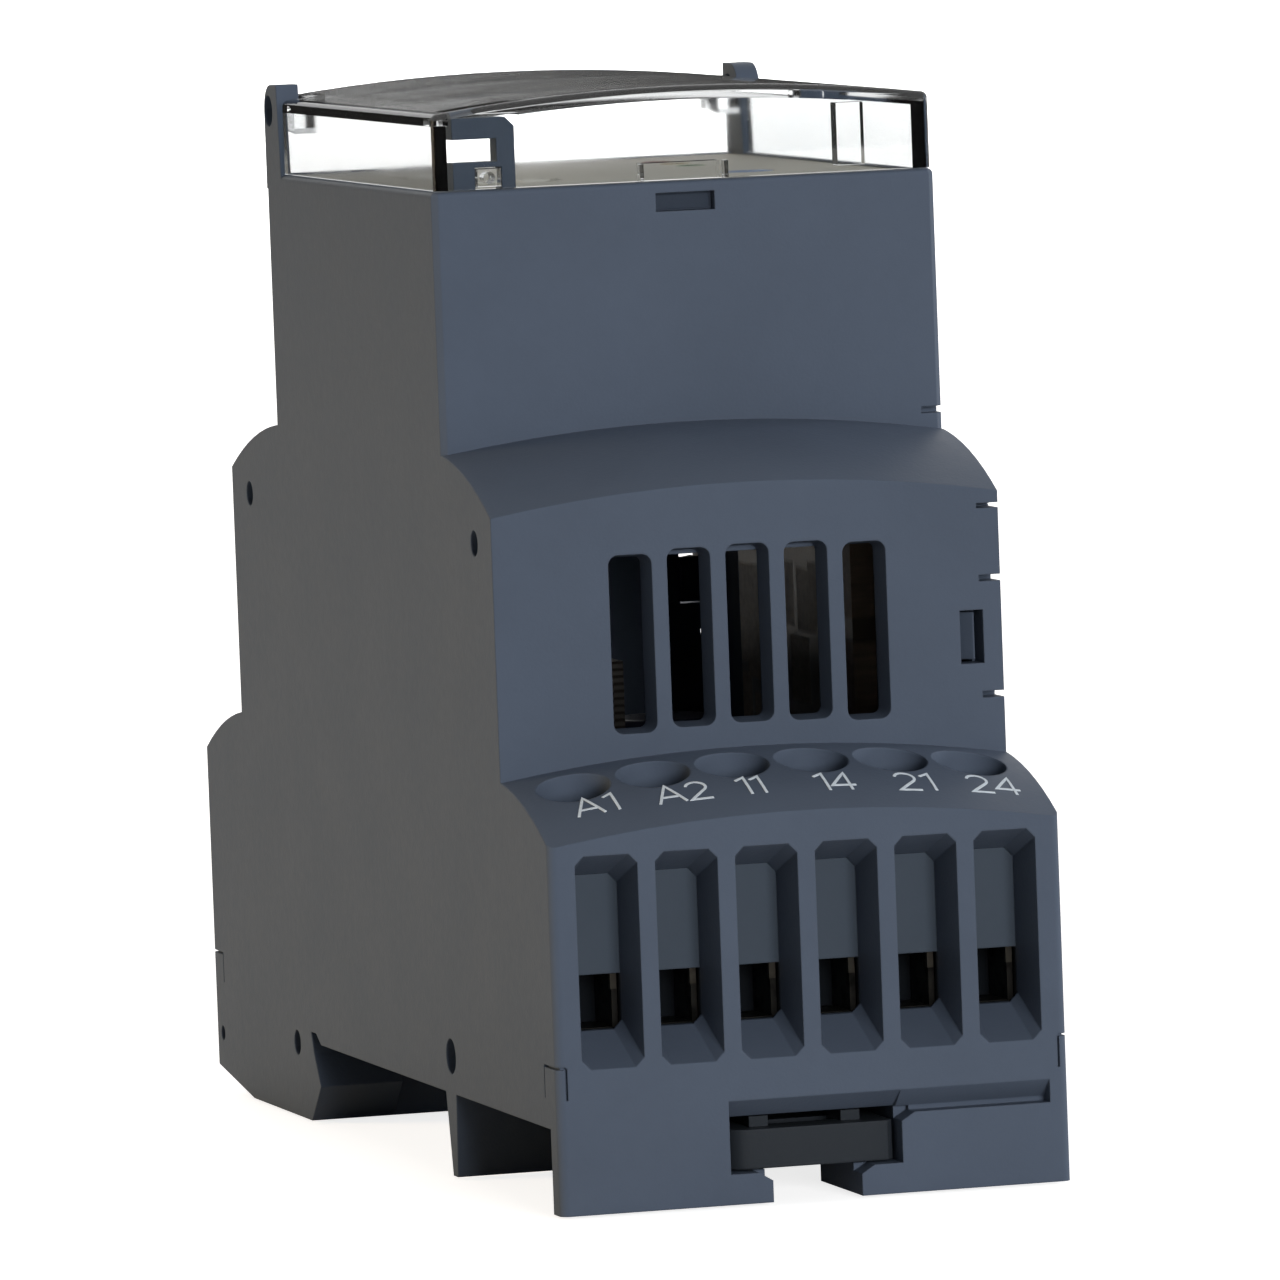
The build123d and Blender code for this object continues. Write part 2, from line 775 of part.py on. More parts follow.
# Side cover: flat plate in the open side, with its own hinge ear and a snap hook at each end
with BuildPart() as side_cover:
    with BuildSketch(Plane.YZ.offset(inner_right)):
        with BuildLine():
            Polyline(*side_outline(-joint_clearance), close=True)
        make_face()
    extrude(amount=cover_plate)
    with BuildSketch(Plane.YZ.offset(half_width - ear_thickness)) as right_ear:
        Polygon(*ear_outline, align=None)
        near_top = right_ear.vertices().sort_by(Axis.Y)[-2:].sort_by(Axis.X)[0]
        fillet(near_top, radius=ear_top_round)
        far_foot = right_ear.vertices().sort_by(Axis.Y)[:2].sort_by(Axis.X)[-1]
        fillet(far_foot, radius=ear_foot_round)
        with Locations((hinge_y, hinge_height)):
            Circle(hinge_hole_radius, mode=Mode.SUBTRACT)
    extrude(amount=ear_thickness)
    for end in (-1, 1):
        inner_face = half_middle - middle_wall - joint_clearance
        hook_low = snap_hole_middle_height - snap_hole_height / 2 + snap_clearance
        hook_high = snap_hole_middle_height + snap_hole_height / 2 - snap_clearance
        hook_end = half_width - snap_hole_inset - snap_hole_width / 2
        with BuildSketch(Plane.XY.offset(hook_low)):
            Polygon(
                (inner_right, end * (inner_face - snap_arm_thickness)),
                (inner_right, end * inner_face),
                (inner_right - snap_clearance, end * inner_face),
                (inner_right - snap_clearance, end * (inner_face + snap_bite)),
                (hook_end + snap_clearance, end * inner_face),
                (hook_end - snap_clearance, end * inner_face),
                (hook_end - snap_clearance, end * (inner_face - snap_arm_thickness)),
                align=None,
            )
        extrude(amount=hook_high - hook_low)
side_cover.part.label = "side_cover"
export_step(side_cover.part, "parts/side_cover.step")

# Front panel: plate in the rim of the nose, with holes for what is set or lit from the front
with BuildPart() as front_panel:
    panel_near = nose_near - nose_wall - panel_gap
    panel_far = nose_far - nose_wall - panel_gap
    ear_bay = hinge_y - ear_near_width - ear_bay_gap
    with BuildSketch(Plane.XY.offset(panel_bottom)):
        Polygon(
            (inner_left + panel_gap, -panel_near + post_depth),
            (post_right + panel_gap, -panel_near + post_depth),
            (post_right + panel_gap, -panel_near),
            (inner_right - panel_gap, -panel_near),
            (inner_right - panel_gap, ear_bay),
            (half_width - ear_thickness - panel_gap, ear_bay),
            (half_width - ear_thickness - panel_gap, panel_far),
            (-half_width + ear_thickness + panel_gap, panel_far),
            (-half_width + ear_thickness + panel_gap, ear_bay),
            (inner_left + panel_gap, ear_bay),
            align=None,
        )
        with Locations((0, -panel_near)):
            Rectangle(tongue_width + 2 * tongue_slit, 2 * (tongue_bay_depth - panel_gap), mode=Mode.SUBTRACT)
        for place in (selector_place, delay_place):
            with Locations(place):
                Circle(knob_radius + knob_bore_gap, mode=Mode.SUBTRACT)
        with Locations(button_place):
            Circle(button_radius + button_gap, mode=Mode.SUBTRACT)
        with Locations(light_place):
            with GridLocations(0, light_pitch, 1, len(light_names)):
                Circle(light_radius + button_gap, mode=Mode.SUBTRACT)
    extrude(amount=panel_thickness)
    with BuildSketch(Plane.XY.offset(front_board_top)):
        for post_y in (-panel_near + panel_post_inset_y, panel_far - panel_post_inset_y):
            with Locations((0, post_y)):
                with GridLocations(inner_right - inner_left - 2 * panel_post_inset_x, 0, 2, 1):
                    Circle(panel_post_radius)
    extrude(amount=panel_bottom - front_board_top)
front_panel.part.label = "front_panel"
export_step(front_panel.part, "parts/front_panel.step")

# Clear cover: arched roof, four thin walls, two hinge arms with pegs and a latch tongue
roof_radius = (cover_half_width**2 + (cover_crown_height - cover_side_height) ** 2) / (
    2 * (cover_crown_height - cover_side_height)
)
roof_axis_height = cover_crown_height - roof_radius
cover_front = nose_near
cover_back = hinge_y - ear_near_width - cover_ear_gap
arm_outer = half_width - ear_thickness - cover_ear_gap
with BuildPart() as clear_cover:
    # Block under the arched roof, as long as the side walls
    with BuildSketch(Plane.XZ.offset(-cover_back)):
        with Locations((0, (cover_bottom + cover_crown_height) / 2)):
            Rectangle(2 * cover_half_width, cover_crown_height - cover_bottom)
        with Locations((0, roof_axis_height)):
            Circle(roof_radius, mode=Mode.INTERSECT)
    extrude(amount=cover_front + cover_back)
    front_edges = clear_cover.edges().group_by(Axis.Y)[0].sort_by(Axis.Z)[1:]
    side_edges = clear_cover.edges().filter_by(Axis.Y).group_by(Axis.Z)[-1]
    fillet(front_edges + side_edges, radius=cover_edge_radius)
    # Narrower tail of the roof, between the ears
    with BuildSketch(Plane.XZ.offset(-hinge_y - cover_tail)):
        with Locations((0, (cover_bottom + cover_crown_height) / 2)):
            Rectangle(2 * arm_outer, cover_crown_height - cover_bottom)
        with Locations((0, roof_axis_height)):
            Circle(roof_radius, mode=Mode.INTERSECT)
    extrude(amount=hinge_y + cover_tail - cover_back)
    # Hollow of the body, open below
    with BuildSketch(Plane.XZ.offset(cover_front - cover_wall)):
        with Locations((0, (cover_bottom + cover_crown_height) / 2)):
            Rectangle(2 * (cover_half_width - cover_wall), cover_crown_height - cover_bottom)
        with Locations((0, roof_axis_height)):
            Circle(roof_radius - cover_roof, mode=Mode.INTERSECT)
    extrude(amount=-(cover_front - cover_wall + cover_back), mode=Mode.SUBTRACT)
    with BuildSketch(Plane.XZ.offset(-cover_back)):
        with Locations((0, (cover_bottom + cover_crown_height) / 2)):
            Rectangle(2 * (arm_outer - cover_arm_width), cover_crown_height - cover_bottom)
        with Locations((0, roof_axis_height)):
            Circle(roof_radius - cover_roof, mode=Mode.INTERSECT)
    extrude(amount=-(hinge_y + cover_tail - cover_back), mode=Mode.SUBTRACT)
    # Arms trimmed round the hinge axis
    with BuildSketch(Plane.YZ.offset(-arm_outer)):
        Polygon(
            (cover_back, cover_bottom),
            (cover_back, cover_arm_bottom),
            (hinge_y, hinge_height - cover_arm_radius),
            (hinge_y + cover_tail, hinge_height - cover_arm_radius),
            (hinge_y + cover_tail, cover_bottom),
            align=None,
        )
    extrude(amount=2 * arm_outer, mode=Mode.SUBTRACT)
    for side in (-1, 1):
        with BuildSketch(Plane.YZ.offset(side * (arm_outer - cover_arm_width / 2))):
            with Locations((hinge_y, hinge_height)):
                Circle(hinge_hole_radius - cover_peg_clearance)
        extrude(amount=side * (half_width - cover_peg_inset - arm_outer + cover_arm_width / 2))
    # Slits beside the latch tongue, and the tongue behind the front wall
    with BuildSketch(end_plane(-1, cover_front)):
        with Locations((0, cover_bottom + tongue_slit_height / 2)):
            with GridLocations(tongue_width, 0, 2, 1):
                Rectangle(tongue_slit, tongue_slit_height)
    extrude(amount=-cover_wall, mode=Mode.SUBTRACT)
    with BuildSketch(Plane.YZ.offset(-tongue_width / 2 + tongue_slit)):
        Polygon(
            (-cover_front + cover_wall, cover_bottom + tongue_slit_height),
            (-cover_front + cover_wall, cover_bottom),
            (-cover_front + nose_wall + tongue_swing, cover_bottom),
            (-cover_front + nose_wall + tongue_swing, nose_top - tongue_reach),
            (-cover_front + nose_wall + tongue_swing + tongue_thickness, nose_top - tongue_reach),
            (-cover_front + nose_wall + tongue_swing + tongue_thickness, cover_bottom + tongue_slit_height),
            align=None,
        )
    extrude(amount=tongue_width - 2 * tongue_slit)
    # Pocket in the roof over the seal post, and the lug in the post's notch
    with BuildSketch(Plane.XY.offset(cover_side_height - cover_roof)):
        with Locations(((post_left + post_right) / 2, -nose_near + nose_wall + post_depth / 2)):
            Rectangle(post_width + 2 * post_pocket_gap, post_depth + 2 * post_pocket_gap)
    extrude(amount=post_pocket_depth, mode=Mode.SUBTRACT)
    with BuildSketch(end_plane(-1, cover_front - cover_wall)):
        with Locations((seal_lug_middle, nose_top + post_notch_height / 2 + cover_gap / 2)):
            Rectangle(post_notch_width - 2 * seal_lug_gap, post_notch_height - cover_gap - 2 * seal_lug_gap)
            Circle(seal_hole_radius, mode=Mode.SUBTRACT)
    extrude(amount=-post_depth)
    # Stiffening rib inside the front wall
    with BuildSketch(Plane.XY.offset(cover_bottom + cover_rib_gap)):
        with Locations((cover_rib_place, -cover_front + cover_wall + cover_rib_depth / 2)):
            Rectangle(cover_rib_width, cover_rib_depth)
    extrude(amount=cover_side_height - cover_roof / 2 - cover_bottom - cover_rib_gap)
clear_cover.part.label = "clear_cover"
export_step(clear_cover.part, "parts/clear_cover.step")

# Rail clip: flat slide with a bitten front, raised runners, spring arms with catches, and a tongue
with BuildPart() as din_clip:
    with BuildSketch(Plane.XY.offset(clip_bottom)):
        with BuildLine():
            front_side = -clip_front + clip_front_radius
            arc_inset = clip_front_radius * (1 - sqrt(0.5))
            Line((-clip_half_width, -clip_back), (-clip_half_width, front_side))
            ThreePointArc(
                (-clip_half_width, front_side),
                (-clip_half_width + arc_inset, -clip_front + arc_inset),
                (-clip_half_width + clip_front_radius, -clip_front),
            )
            Polyline(
                (-clip_half_width + clip_front_radius, -clip_front),
                (clip_half_width - clip_edge, -clip_front),
                (clip_half_width, -clip_front + clip_edge),
                (clip_half_width, -clip_back),
                (-clip_half_width, -clip_back),
            )
        make_face()
        with Locations((0, -catch_place)):
            Rectangle(2 * (channel_half_width + catch_depth - clip_stop_gap), catch_length)
        for side in (-1, 1):
            with Locations((side * (clip_half_width - clip_arm_width - clip_arm_slit / 2), -catch_place)):
                Rectangle(clip_arm_slit, clip_arm_length, mode=Mode.SUBTRACT)
    extrude(amount=clip_height)
    with BuildSketch(Plane.XY.offset(clip_top)):
        for side in (-1, 1):
            runner_width = clip_half_width - clip_arm_width - clip_arm_slit - clip_slot_width / 2
            with Locations((side * (clip_slot_width + runner_width) / 2, -(clip_front + clip_back) / 2)):
                Rectangle(runner_width, clip_front - clip_back - 2 * clip_front_radius)
    extrude(amount=rail_seat - clip_top - clip_shelf_gap)
    with BuildSketch(Plane.XY.offset(clip_bottom)):
        with Locations((0, -clip_front + clip_slot_length + clip_front_radius)):
            Rectangle(clip_slot_width, clip_slot_length)
    extrude(amount=clip_height, mode=Mode.SUBTRACT)
    with BuildSketch(Plane.YZ.offset(-clip_tongue_width / 2)):
        Polygon(
            (-clip_back, clip_bottom),
            (-clip_back, clip_top),
            (-rail_edge, rail_seat - rail_flange - clip_flange_gap),
            (-rail_edge + clip_bite, rail_seat - rail_flange - clip_flange_gap),
            (-rail_edge + clip_bite, rail_seat - rail_flange - clip_flange_gap - clip_tip_height),
            (-rail_edge - clip_flange_gap, clip_bottom),
            align=None,
        )
    extrude(amount=clip_tongue_width)
din_clip.part.label = "din_clip"
export_step(din_clip.part, "parts/din_clip.step")

# Terminal carriers: one moulded row of six cells for each end
for end, end_name in ((-1, "near"), (1, "far")):
    cell_height = screw_head_bottom - cage_rest + cage_clearance - head_clearance
    with BuildPart() as carrier:
        with BuildSketch(Plane.XY.offset(carrier_bottom)):
            with Locations(((inner_left + inner_right) / 2, end * (carrier_front + carrier_back) / 2)):
                Rectangle(carrier_length, carrier_front - carrier_back)
        extrude(amount=carrier_top - carrier_bottom)
        for place in terminal_places:
            with BuildSketch(Plane.XY.offset(cage_rest - cage_clearance)):
                with Locations((place, end * (cell_front + cell_back) / 2)):
                    Rectangle(carrier_cell_width, carrier_cell_depth)
            extrude(amount=cell_height, mode=Mode.SUBTRACT)
            with BuildSketch(Plane.XY.offset(screw_head_bottom - head_clearance)):
                with Locations((place, end * terminal_y)):
                    Circle(screw_head_radius + head_clearance)
            extrude(amount=carrier_top - screw_head_bottom + head_clearance, mode=Mode.SUBTRACT)
            with BuildSketch(end_plane(end, carrier_front)):
                with Locations((-end * place, (entry_bottom + entry_top) / 2)):
                    Rectangle(inner_window_width, entry_top - entry_bottom)
            extrude(amount=-carrier_front_wall, mode=Mode.SUBTRACT)
            with BuildSketch(end_plane(end, cell_back)):
                with Locations((-end * place, (contact_bottom + contact_top) / 2)):
                    Rectangle(contact_width, contact_thickness)
            extrude(amount=-carrier_rear_wall, mode=Mode.SUBTRACT)
    carrier.part.label = "terminal_carrier_" + end_name
    export_step(carrier.part, "parts/terminal_carrier_" + end_name + ".step")

# Terminals: screw, rising cage and contact bar, numbered from the near left to the far right
number = 0
for end in (-1, 1):
    for place in terminal_places:
        number += 1
        with BuildPart() as screw:
            with BuildSketch(Plane.XY.offset(contact_top)):
                with Locations((place, end * terminal_y)):
                    Circle(screw_radius)
            extrude(amount=screw_head_bottom - contact_top)
            with BuildSketch(Plane.XY.offset(screw_head_bottom)):
                with Locations((place, end * terminal_y)):
                    Circle(screw_head_radius)
            extrude(amount=screw_head_height)
            chamfer(screw.faces().sort_by(Axis.Z)[-1].edges(), length=screw_edge)
            with BuildSketch(Plane.XY.offset(screw_top - screw_slot_depth)):
                with Locations((place, end * terminal_y)):
                    Rectangle(2 * screw_head_radius, screw_slot_width)
            extrude(amount=screw_slot_depth, mode=Mode.SUBTRACT)
        screw.part.label = f"terminal_screw_{number}"
        export_step(screw.part, f"parts/terminal_screw_{number}.step")

        with BuildPart() as cage:
            with BuildSketch(end_plane(end, terminal_y + cage_depth / 2)):
                with Locations((-end * place, (cage_rest + cage_top) / 2)):
                    Rectangle(cage_width, cage_top - cage_rest)
                with Locations((-end * place, (entry_bottom + cage_inner_top) / 2)):
                    Rectangle(cage_width - 2 * cage_wall, cage_inner_top - entry_bottom, mode=Mode.SUBTRACT)
            extrude(amount=-cage_depth)
            with BuildSketch(Plane.XY.offset(cage_inner_top)):
                with Locations((place, end * terminal_y)):
                    Circle(screw_radius + thread_clearance)
            extrude(amount=cage_nut_height, mode=Mode.SUBTRACT)
        cage.part.label = f"terminal_cage_{number}"
        export_step(cage.part, f"parts/terminal_cage_{number}.step")

        with BuildPart() as contact:
            with BuildSketch(Plane.YZ.offset(place - contact_width / 2)):
                Polygon(
                    (end * cell_front, contact_bottom),
                    (end * cell_front, contact_top),
                    (end * contact_heel, contact_top),
                    (end * contact_heel, base_board_top),
                    (end * (contact_heel + contact_thickness), base_board_top),
                    (end * (contact_heel + contact_thickness), contact_bottom),
                    align=None,
                )
            extrude(amount=contact_width)
            with BuildSketch(end_plane(end, cell_front)):
                with Locations((-end * place, (contact_bottom + contact_top) / 2)):
                    Rectangle(2 * contact_tab_outer, contact_thickness)
                for side in (-1, 1):
                    with Locations((
                        -end * place + side * (contact_tab_outer - contact_tab_thickness / 2),
                        contact_bottom - contact_tab_drop / 2,
                    )):
                        Rectangle(contact_tab_thickness, contact_tab_drop)
            extrude(amount=-contact_tab_thickness)
        contact.part.label = f"contact_bar_{number}"
        export_step(contact.part, f"parts/contact_bar_{number}.step")

# Circuit boards
board_width = inner_right - inner_left - 2 * board_side_gap
with BuildPart() as base_board:
    with BuildSketch(Plane.XY.offset(base_board_height)):
        Rectangle(board_width, 2 * base_board_half_length)
    extrude(amount=board_thickness)
base_board.part.label = "base_board"
export_step(base_board.part, "parts/base_board.step")

with BuildPart() as front_board:
    with BuildSketch(Plane.XY.offset(front_board_height)):
        with Locations((0, nose_middle)):
            Rectangle(board_width, nose_near + nose_far - 2 * (nose_wall + board_side_gap))
    extrude(amount=board_thickness)
front_board.part.label = "front_board"
export_step(front_board.part, "parts/front_board.step")

with BuildPart() as riser_board:
    with BuildSketch(Plane.YZ.offset(riser_place_x)):
        with Locations(((riser_far - riser_near) / 2, (base_board_top + front_board_height) / 2)):
            Rectangle(riser_near + riser_far, front_board_height - base_board_top)
    extrude(amount=board_thickness)
riser_board.part.label = "riser_board"
export_step(riser_board.part, "parts/riser_board.step")

# Output relays in closed cases
for index, relay_x in enumerate(relay_places_x, start=1):
    with BuildPart() as relay:
        with BuildSketch(Plane.XY.offset(base_board_top)):
            with Locations((relay_x, relay_far - relay_size[1] / 2)):
                RectangleRounded(relay_size[0], relay_size[1], relay_edge)
        extrude(amount=relay_size[2])
        chamfer(relay.faces().sort_by(Axis.Z)[-1].edges(), length=relay_edge)
    relay.part.label = f"output_relay_{index}"
    export_step(relay.part, f"parts/output_relay_{index}.step")

# Supply transformer: core block with its wound bobbin standing out of both ends
with BuildPart() as transformer:
    with BuildSketch(Plane.XY.offset(base_board_top)):
        with Locations((transformer_place_x, transformer_y)):
            Rectangle(transformer_width, transformer_length - 2 * bobbin_overhang)
    extrude(amount=transformer_height)
    with BuildSketch(Plane.XY.offset(base_board_top)):
        with Locations((transformer_place_x, transformer_y)):
            Rectangle(transformer_width - 2 * bobbin_inset, transformer_length)
    extrude(amount=transformer_height - bobbin_inset)
transformer.part.label = "transformer"
export_step(transformer.part, "parts/transformer.step")

# Smoothing capacitor
with BuildPart() as capacitor:
    with BuildSketch(Plane.XY.offset(base_board_top)):
        with Locations((capacitor_place_x, transformer_y - capacitor_offset)):
            Circle(capacitor_radius)
    extrude(amount=capacitor_height)
    fillet(capacitor.faces().sort_by(Axis.Z)[-1].edges(), radius=capacitor_edge)
capacitor.part.label = "capacitor"
export_step(capacitor.part, "parts/capacitor.step")

# Two adjusters: a fixed trimmer base with a bore, and a turning knob with a screwdriver slot
for knob_name, knob_place in (("selector", selector_place), ("delay", delay_place)):
    with BuildPart() as trimmer:
        with BuildSketch(Plane.XY.offset(front_board_top)):
            with Locations(knob_place):
                Rectangle(trimmer_body, trimmer_body)
        extrude(amount=trimmer_height)
        with BuildSketch(Plane.XY.offset(front_board_top + trimmer_floor)):
            with Locations(knob_place):
                Circle(knob_neck_radius + running_clearance)
        extrude(amount=trimmer_height - trimmer_floor, mode=Mode.SUBTRACT)
    trimmer.part.label = knob_name + "_base"
    export_step(trimmer.part, "parts/" + knob_name + "_base.step")

    with BuildPart() as knob:
        with BuildSketch(Plane.XY.offset(front_board_top + trimmer_floor)):
            with Locations(knob_place):
                Circle(knob_neck_radius)
        extrude(amount=panel_top - front_board_top - trimmer_floor)
        with BuildSketch(Plane.XY.offset(panel_top - knob_head_height)):
            with Locations(knob_place):
                Circle(knob_radius)
        extrude(amount=knob_head_height)
        with BuildSketch(Plane.XY.offset(panel_top - knob_slot_depth)):
            with Locations(knob_place):
                Rectangle(knob_slot_width, 2 * knob_slot_reach)
                with Locations((0, knob_slot_reach)):
                    Rectangle(knob_pointer_width, knob_slot_width)
        extrude(amount=knob_slot_depth, mode=Mode.SUBTRACT)
    knob.part.label = knob_name + "_knob"
    export_step(knob.part, "parts/" + knob_name + "_knob.step")

# Reset button with its switch
with BuildPart() as button_switch:
    with BuildSketch(Plane.XY.offset(front_board_top)):
        with Locations(button_place):
            Rectangle(switch_body, switch_body)
    extrude(amount=switch_height)
    with BuildSketch(Plane.XY.offset(front_board_top + switch_height - stem_depth)):
        with Locations(button_place):
            Circle(stem_radius + running_clearance)
    extrude(amount=stem_depth, mode=Mode.SUBTRACT)
button_switch.part.label = "button_switch"
export_step(button_switch.part, "parts/button_switch.step")

button_head_bottom = front_board_top + switch_height + button_travel + button_gap
with BuildPart() as reset_button:
    with BuildSketch(Plane.XY.offset(button_head_bottom - stem_depth)):
        with Locations(button_place):
            Circle(stem_radius)
    extrude(amount=panel_top - button_head_bottom + stem_depth)
    with BuildSketch(Plane.XY.offset(button_head_bottom)):
        with Locations(button_place):
            Circle(button_radius)
    extrude(amount=panel_top - button_head_bottom)
reset_button.part.label = "reset_button"
export_step(reset_button.part, "parts/reset_button.step")

# Light guides between the front board and the panel
for index, light_name in enumerate(light_names):
    offset_y = (index - (len(light_names) - 1) / 2) * light_pitch
    with BuildPart() as light:
        with BuildSketch(Plane.XY.offset(front_board_top)):
            with Locations((light_place[0], light_place[1] + offset_y)):
                Circle(light_radius)
        extrude(amount=panel_top - front_board_top)
    light.part.label = light_name
    export_step(light.part, "parts/" + light_name + ".step")
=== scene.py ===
import logging
import math
import random
from dataclasses import dataclass, field
from enum import Enum
from typing import Any, Optional, Sequence, Union

import bmesh
import bpy
from mathutils import Matrix, Vector


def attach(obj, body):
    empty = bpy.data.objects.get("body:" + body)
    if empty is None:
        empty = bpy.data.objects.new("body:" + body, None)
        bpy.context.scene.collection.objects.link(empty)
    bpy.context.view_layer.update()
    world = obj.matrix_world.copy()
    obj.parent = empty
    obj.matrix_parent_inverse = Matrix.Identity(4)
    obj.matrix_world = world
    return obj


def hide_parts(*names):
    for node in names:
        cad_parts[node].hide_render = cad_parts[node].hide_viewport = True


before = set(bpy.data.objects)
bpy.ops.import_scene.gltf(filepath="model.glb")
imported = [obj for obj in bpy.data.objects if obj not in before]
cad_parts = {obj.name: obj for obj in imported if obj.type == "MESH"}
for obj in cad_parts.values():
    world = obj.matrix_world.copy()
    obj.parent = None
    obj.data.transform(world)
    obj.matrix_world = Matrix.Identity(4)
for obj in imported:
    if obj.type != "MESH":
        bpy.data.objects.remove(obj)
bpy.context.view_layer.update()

logging.basicConfig(level=logging.INFO, format="%(message)s")
LOG = logging.getLogger("monitoring_relay")

MM = 0.001
LETTER_GAP = 0.15
SHARPEST_MITRE = 0.45
ARC_STEPS = 10
Colour = tuple[float, float, float]
Point = tuple[float, float]


class End(Enum):
    """The two ends of the body that carry terminals."""

    NEAR = -1
    FAR = 1


class Slot(Enum):
    """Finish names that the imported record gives."""

    HOUSING = "housing_grey_blue"
    CLEAR = "clear_plastic"
    CARRIER = "carrier_grey"
    CLIP = "clip_black"
    ZINC = "zinc_steel"
    BRASS = "contact_brass"
    PANEL = "panel_grey"
    BOARD = "board_brown"
    RELAY = "relay_case"
    CORE = "transformer_core"
    SLEEVE = "capacitor_sleeve"
    KNOB = "knob_white"
    BUTTON = "button_blue"
    GREEN = "light_green"
    YELLOW = "light_yellow"
    RED = "light_red"


def linear(red: int, green: int, blue: int) -> Colour:
    """Turn an 8-bit display colour into linear light.

    Args:
        red: Red from 0 to 255.
        green: Green from 0 to 255.
        blue: Blue from 0 to 255.

    Returns:
        The same colour as three linear values.
    """
    def one(value: int) -> float:
        """Undo the display curve for one channel."""
        share = value / 255
        return share / 12.92 if share <= 0.04045 else ((share + 0.055) / 1.055) ** 2.4

    return one(red), one(green), one(blue)


class Wire:
    """A node's output socket that takes part in Python expressions on values."""

    def __init__(self, graph: "Graph", socket: bpy.types.NodeSocket) -> None:
        """Keep the socket and the graph that new nodes go into."""
        self.graph = graph
        self.socket = socket

    def _maths(self, operation: str, first: Any, second: Any) -> "Wire":
        """Add one Math node.

        Args:
            operation: The Math node's operation.
            first: Its first value or link.
            second: Its second value or link.

        Returns:
            The result of the node.
        """
        return self.graph.add(
            self.graph.maths, {"operation": operation}, {0: first, 1: second}
        )

    def __add__(self, other: Any) -> "Wire":
        """Sum."""
        return self._maths("ADD", self, other)

    def __radd__(self, other: Any) -> "Wire":
        """Sum with a number on the left."""
        return self._maths("ADD", other, self)

    def __sub__(self, other: Any) -> "Wire":
        """Difference."""
        return self._maths("SUBTRACT", self, other)

    def __rsub__(self, other: Any) -> "Wire":
        """Difference with a number on the left."""
        return self._maths("SUBTRACT", other, self)

    def __mul__(self, other: Any) -> "Wire":
        """Product."""
        return self._maths("MULTIPLY", self, other)

    def __rmul__(self, other: Any) -> "Wire":
        """Product with a number on the left."""
        return self._maths("MULTIPLY", other, self)

    def __truediv__(self, other: Any) -> "Wire":
        """Quotient."""
        return self._maths("DIVIDE", self, other)

    def __rtruediv__(self, other: Any) -> "Wire":
        """Quotient with a number on the left."""
        return self._maths("DIVIDE", other, self)

    def largest(self, other: Any) -> "Wire":
        """The larger of two values."""
        return self._maths("MAXIMUM", self, other)

    def above(self, limit: float) -> "Wire":
        """One where the value is above the limit, else nought."""
        return self._maths("GREATER_THAN", self, limit)


class Graph:
    """Adds nodes to a shader or geometry tree."""

    def __init__(self, tree: bpy.types.NodeTree) -> None:
        """Keep the tree."""
        self.tree = tree
        self.maths = "ShaderNodeMath"

    @staticmethod
    def _find(sockets: Any, key: Union[int, str]) -> bpy.types.NodeSocket:
        """Find a socket by its place, its identifier or its name."""
        if isinstance(key, int):
            return sockets[key]
        for socket in sockets:
            if socket.identifier == key:
                return socket
        return sockets[key]

    def node(
        self,
        kind: str,
        settings: Optional[dict[str, Any]] = None,
        values: Optional[dict[Union[int, str], Any]] = None,
    ) -> bpy.types.Node:
        """Add a node, set it up and feed its sockets.

        Args:
            kind: The node's type.
            settings: The node's own settings, or a ramp's stops under "stops".
            values: Numbers, colours or wires by socket.

        Returns:
            The new node.
        """
        made = self.tree.nodes.new(kind)
        for name, value in (settings or {}).items():
            if name == "stops":
                ramp = made.color_ramp
                while len(ramp.elements) < len(value):
                    ramp.elements.new(0.5)
                for element, (place, shade) in zip(ramp.elements, value):
                    element.position = place
                    element.color = (*shade, 1.0) if len(shade) == 3 else shade
            else:
                setattr(made, name, value)
        for key, value in (values or {}).items():
            self.feed(made, key, value)
        return made

    def feed(self, made: bpy.types.Node, key: Union[int, str], value: Any) -> None:
        """Link a wire to a socket, or set the socket's own value."""
        socket = self._find(made.inputs, key)
        if isinstance(value, Wire):
            self.tree.links.new(value.socket, socket)
        elif isinstance(value, bpy.types.NodeSocket):
            self.tree.links.new(value, socket)
        elif socket.type == "RGBA" and len(value) == 3:
            socket.default_value = (*value, 1.0)
        else:
            socket.default_value = value

    def add(
        self,
        kind: str,
        settings: Optional[dict[str, Any]] = None,
        values: Optional[dict[Union[int, str], Any]] = None,
        out: Union[int, str] = 0,
    ) -> Wire:
        """Add a node and return one of its outputs as a wire."""
        return Wire(self, self._find(self.node(kind, settings, values).outputs, out))

    def mix(self, share: Any, first: Any, second: Any) -> Wire:
        """Blend two colours by a share."""
        return self.add(
            "ShaderNodeMix",
            {"data_type": "RGBA"},
            {"Factor_Float": share, "A_Color": first, "B_Color": second},
            out="Result_Color",
        )

    def noise(self, place: Wire, scale: float, detail: float = 2.0, seed: float = 0.0) -> Wire:
        """Soft random values in space."""
        return self.add(
            "ShaderNodeTexNoise",
            {"noise_dimensions": "4D"},
            {"Vector": place, "Scale": scale, "Detail": detail, "W": seed},
        )

    def spread(self, value: Any, low: float, high: float, to_low: float, to_high: float) -> Wire:
        """Stretch a range of values onto another and hold it there."""
        return self.add(
            "ShaderNodeMapRange",
            None,
            {
                "Value": value,
                "From Min": low,
                "From Max": high,
                "To Min": to_low,
                "To Max": to_high,
            },
        )


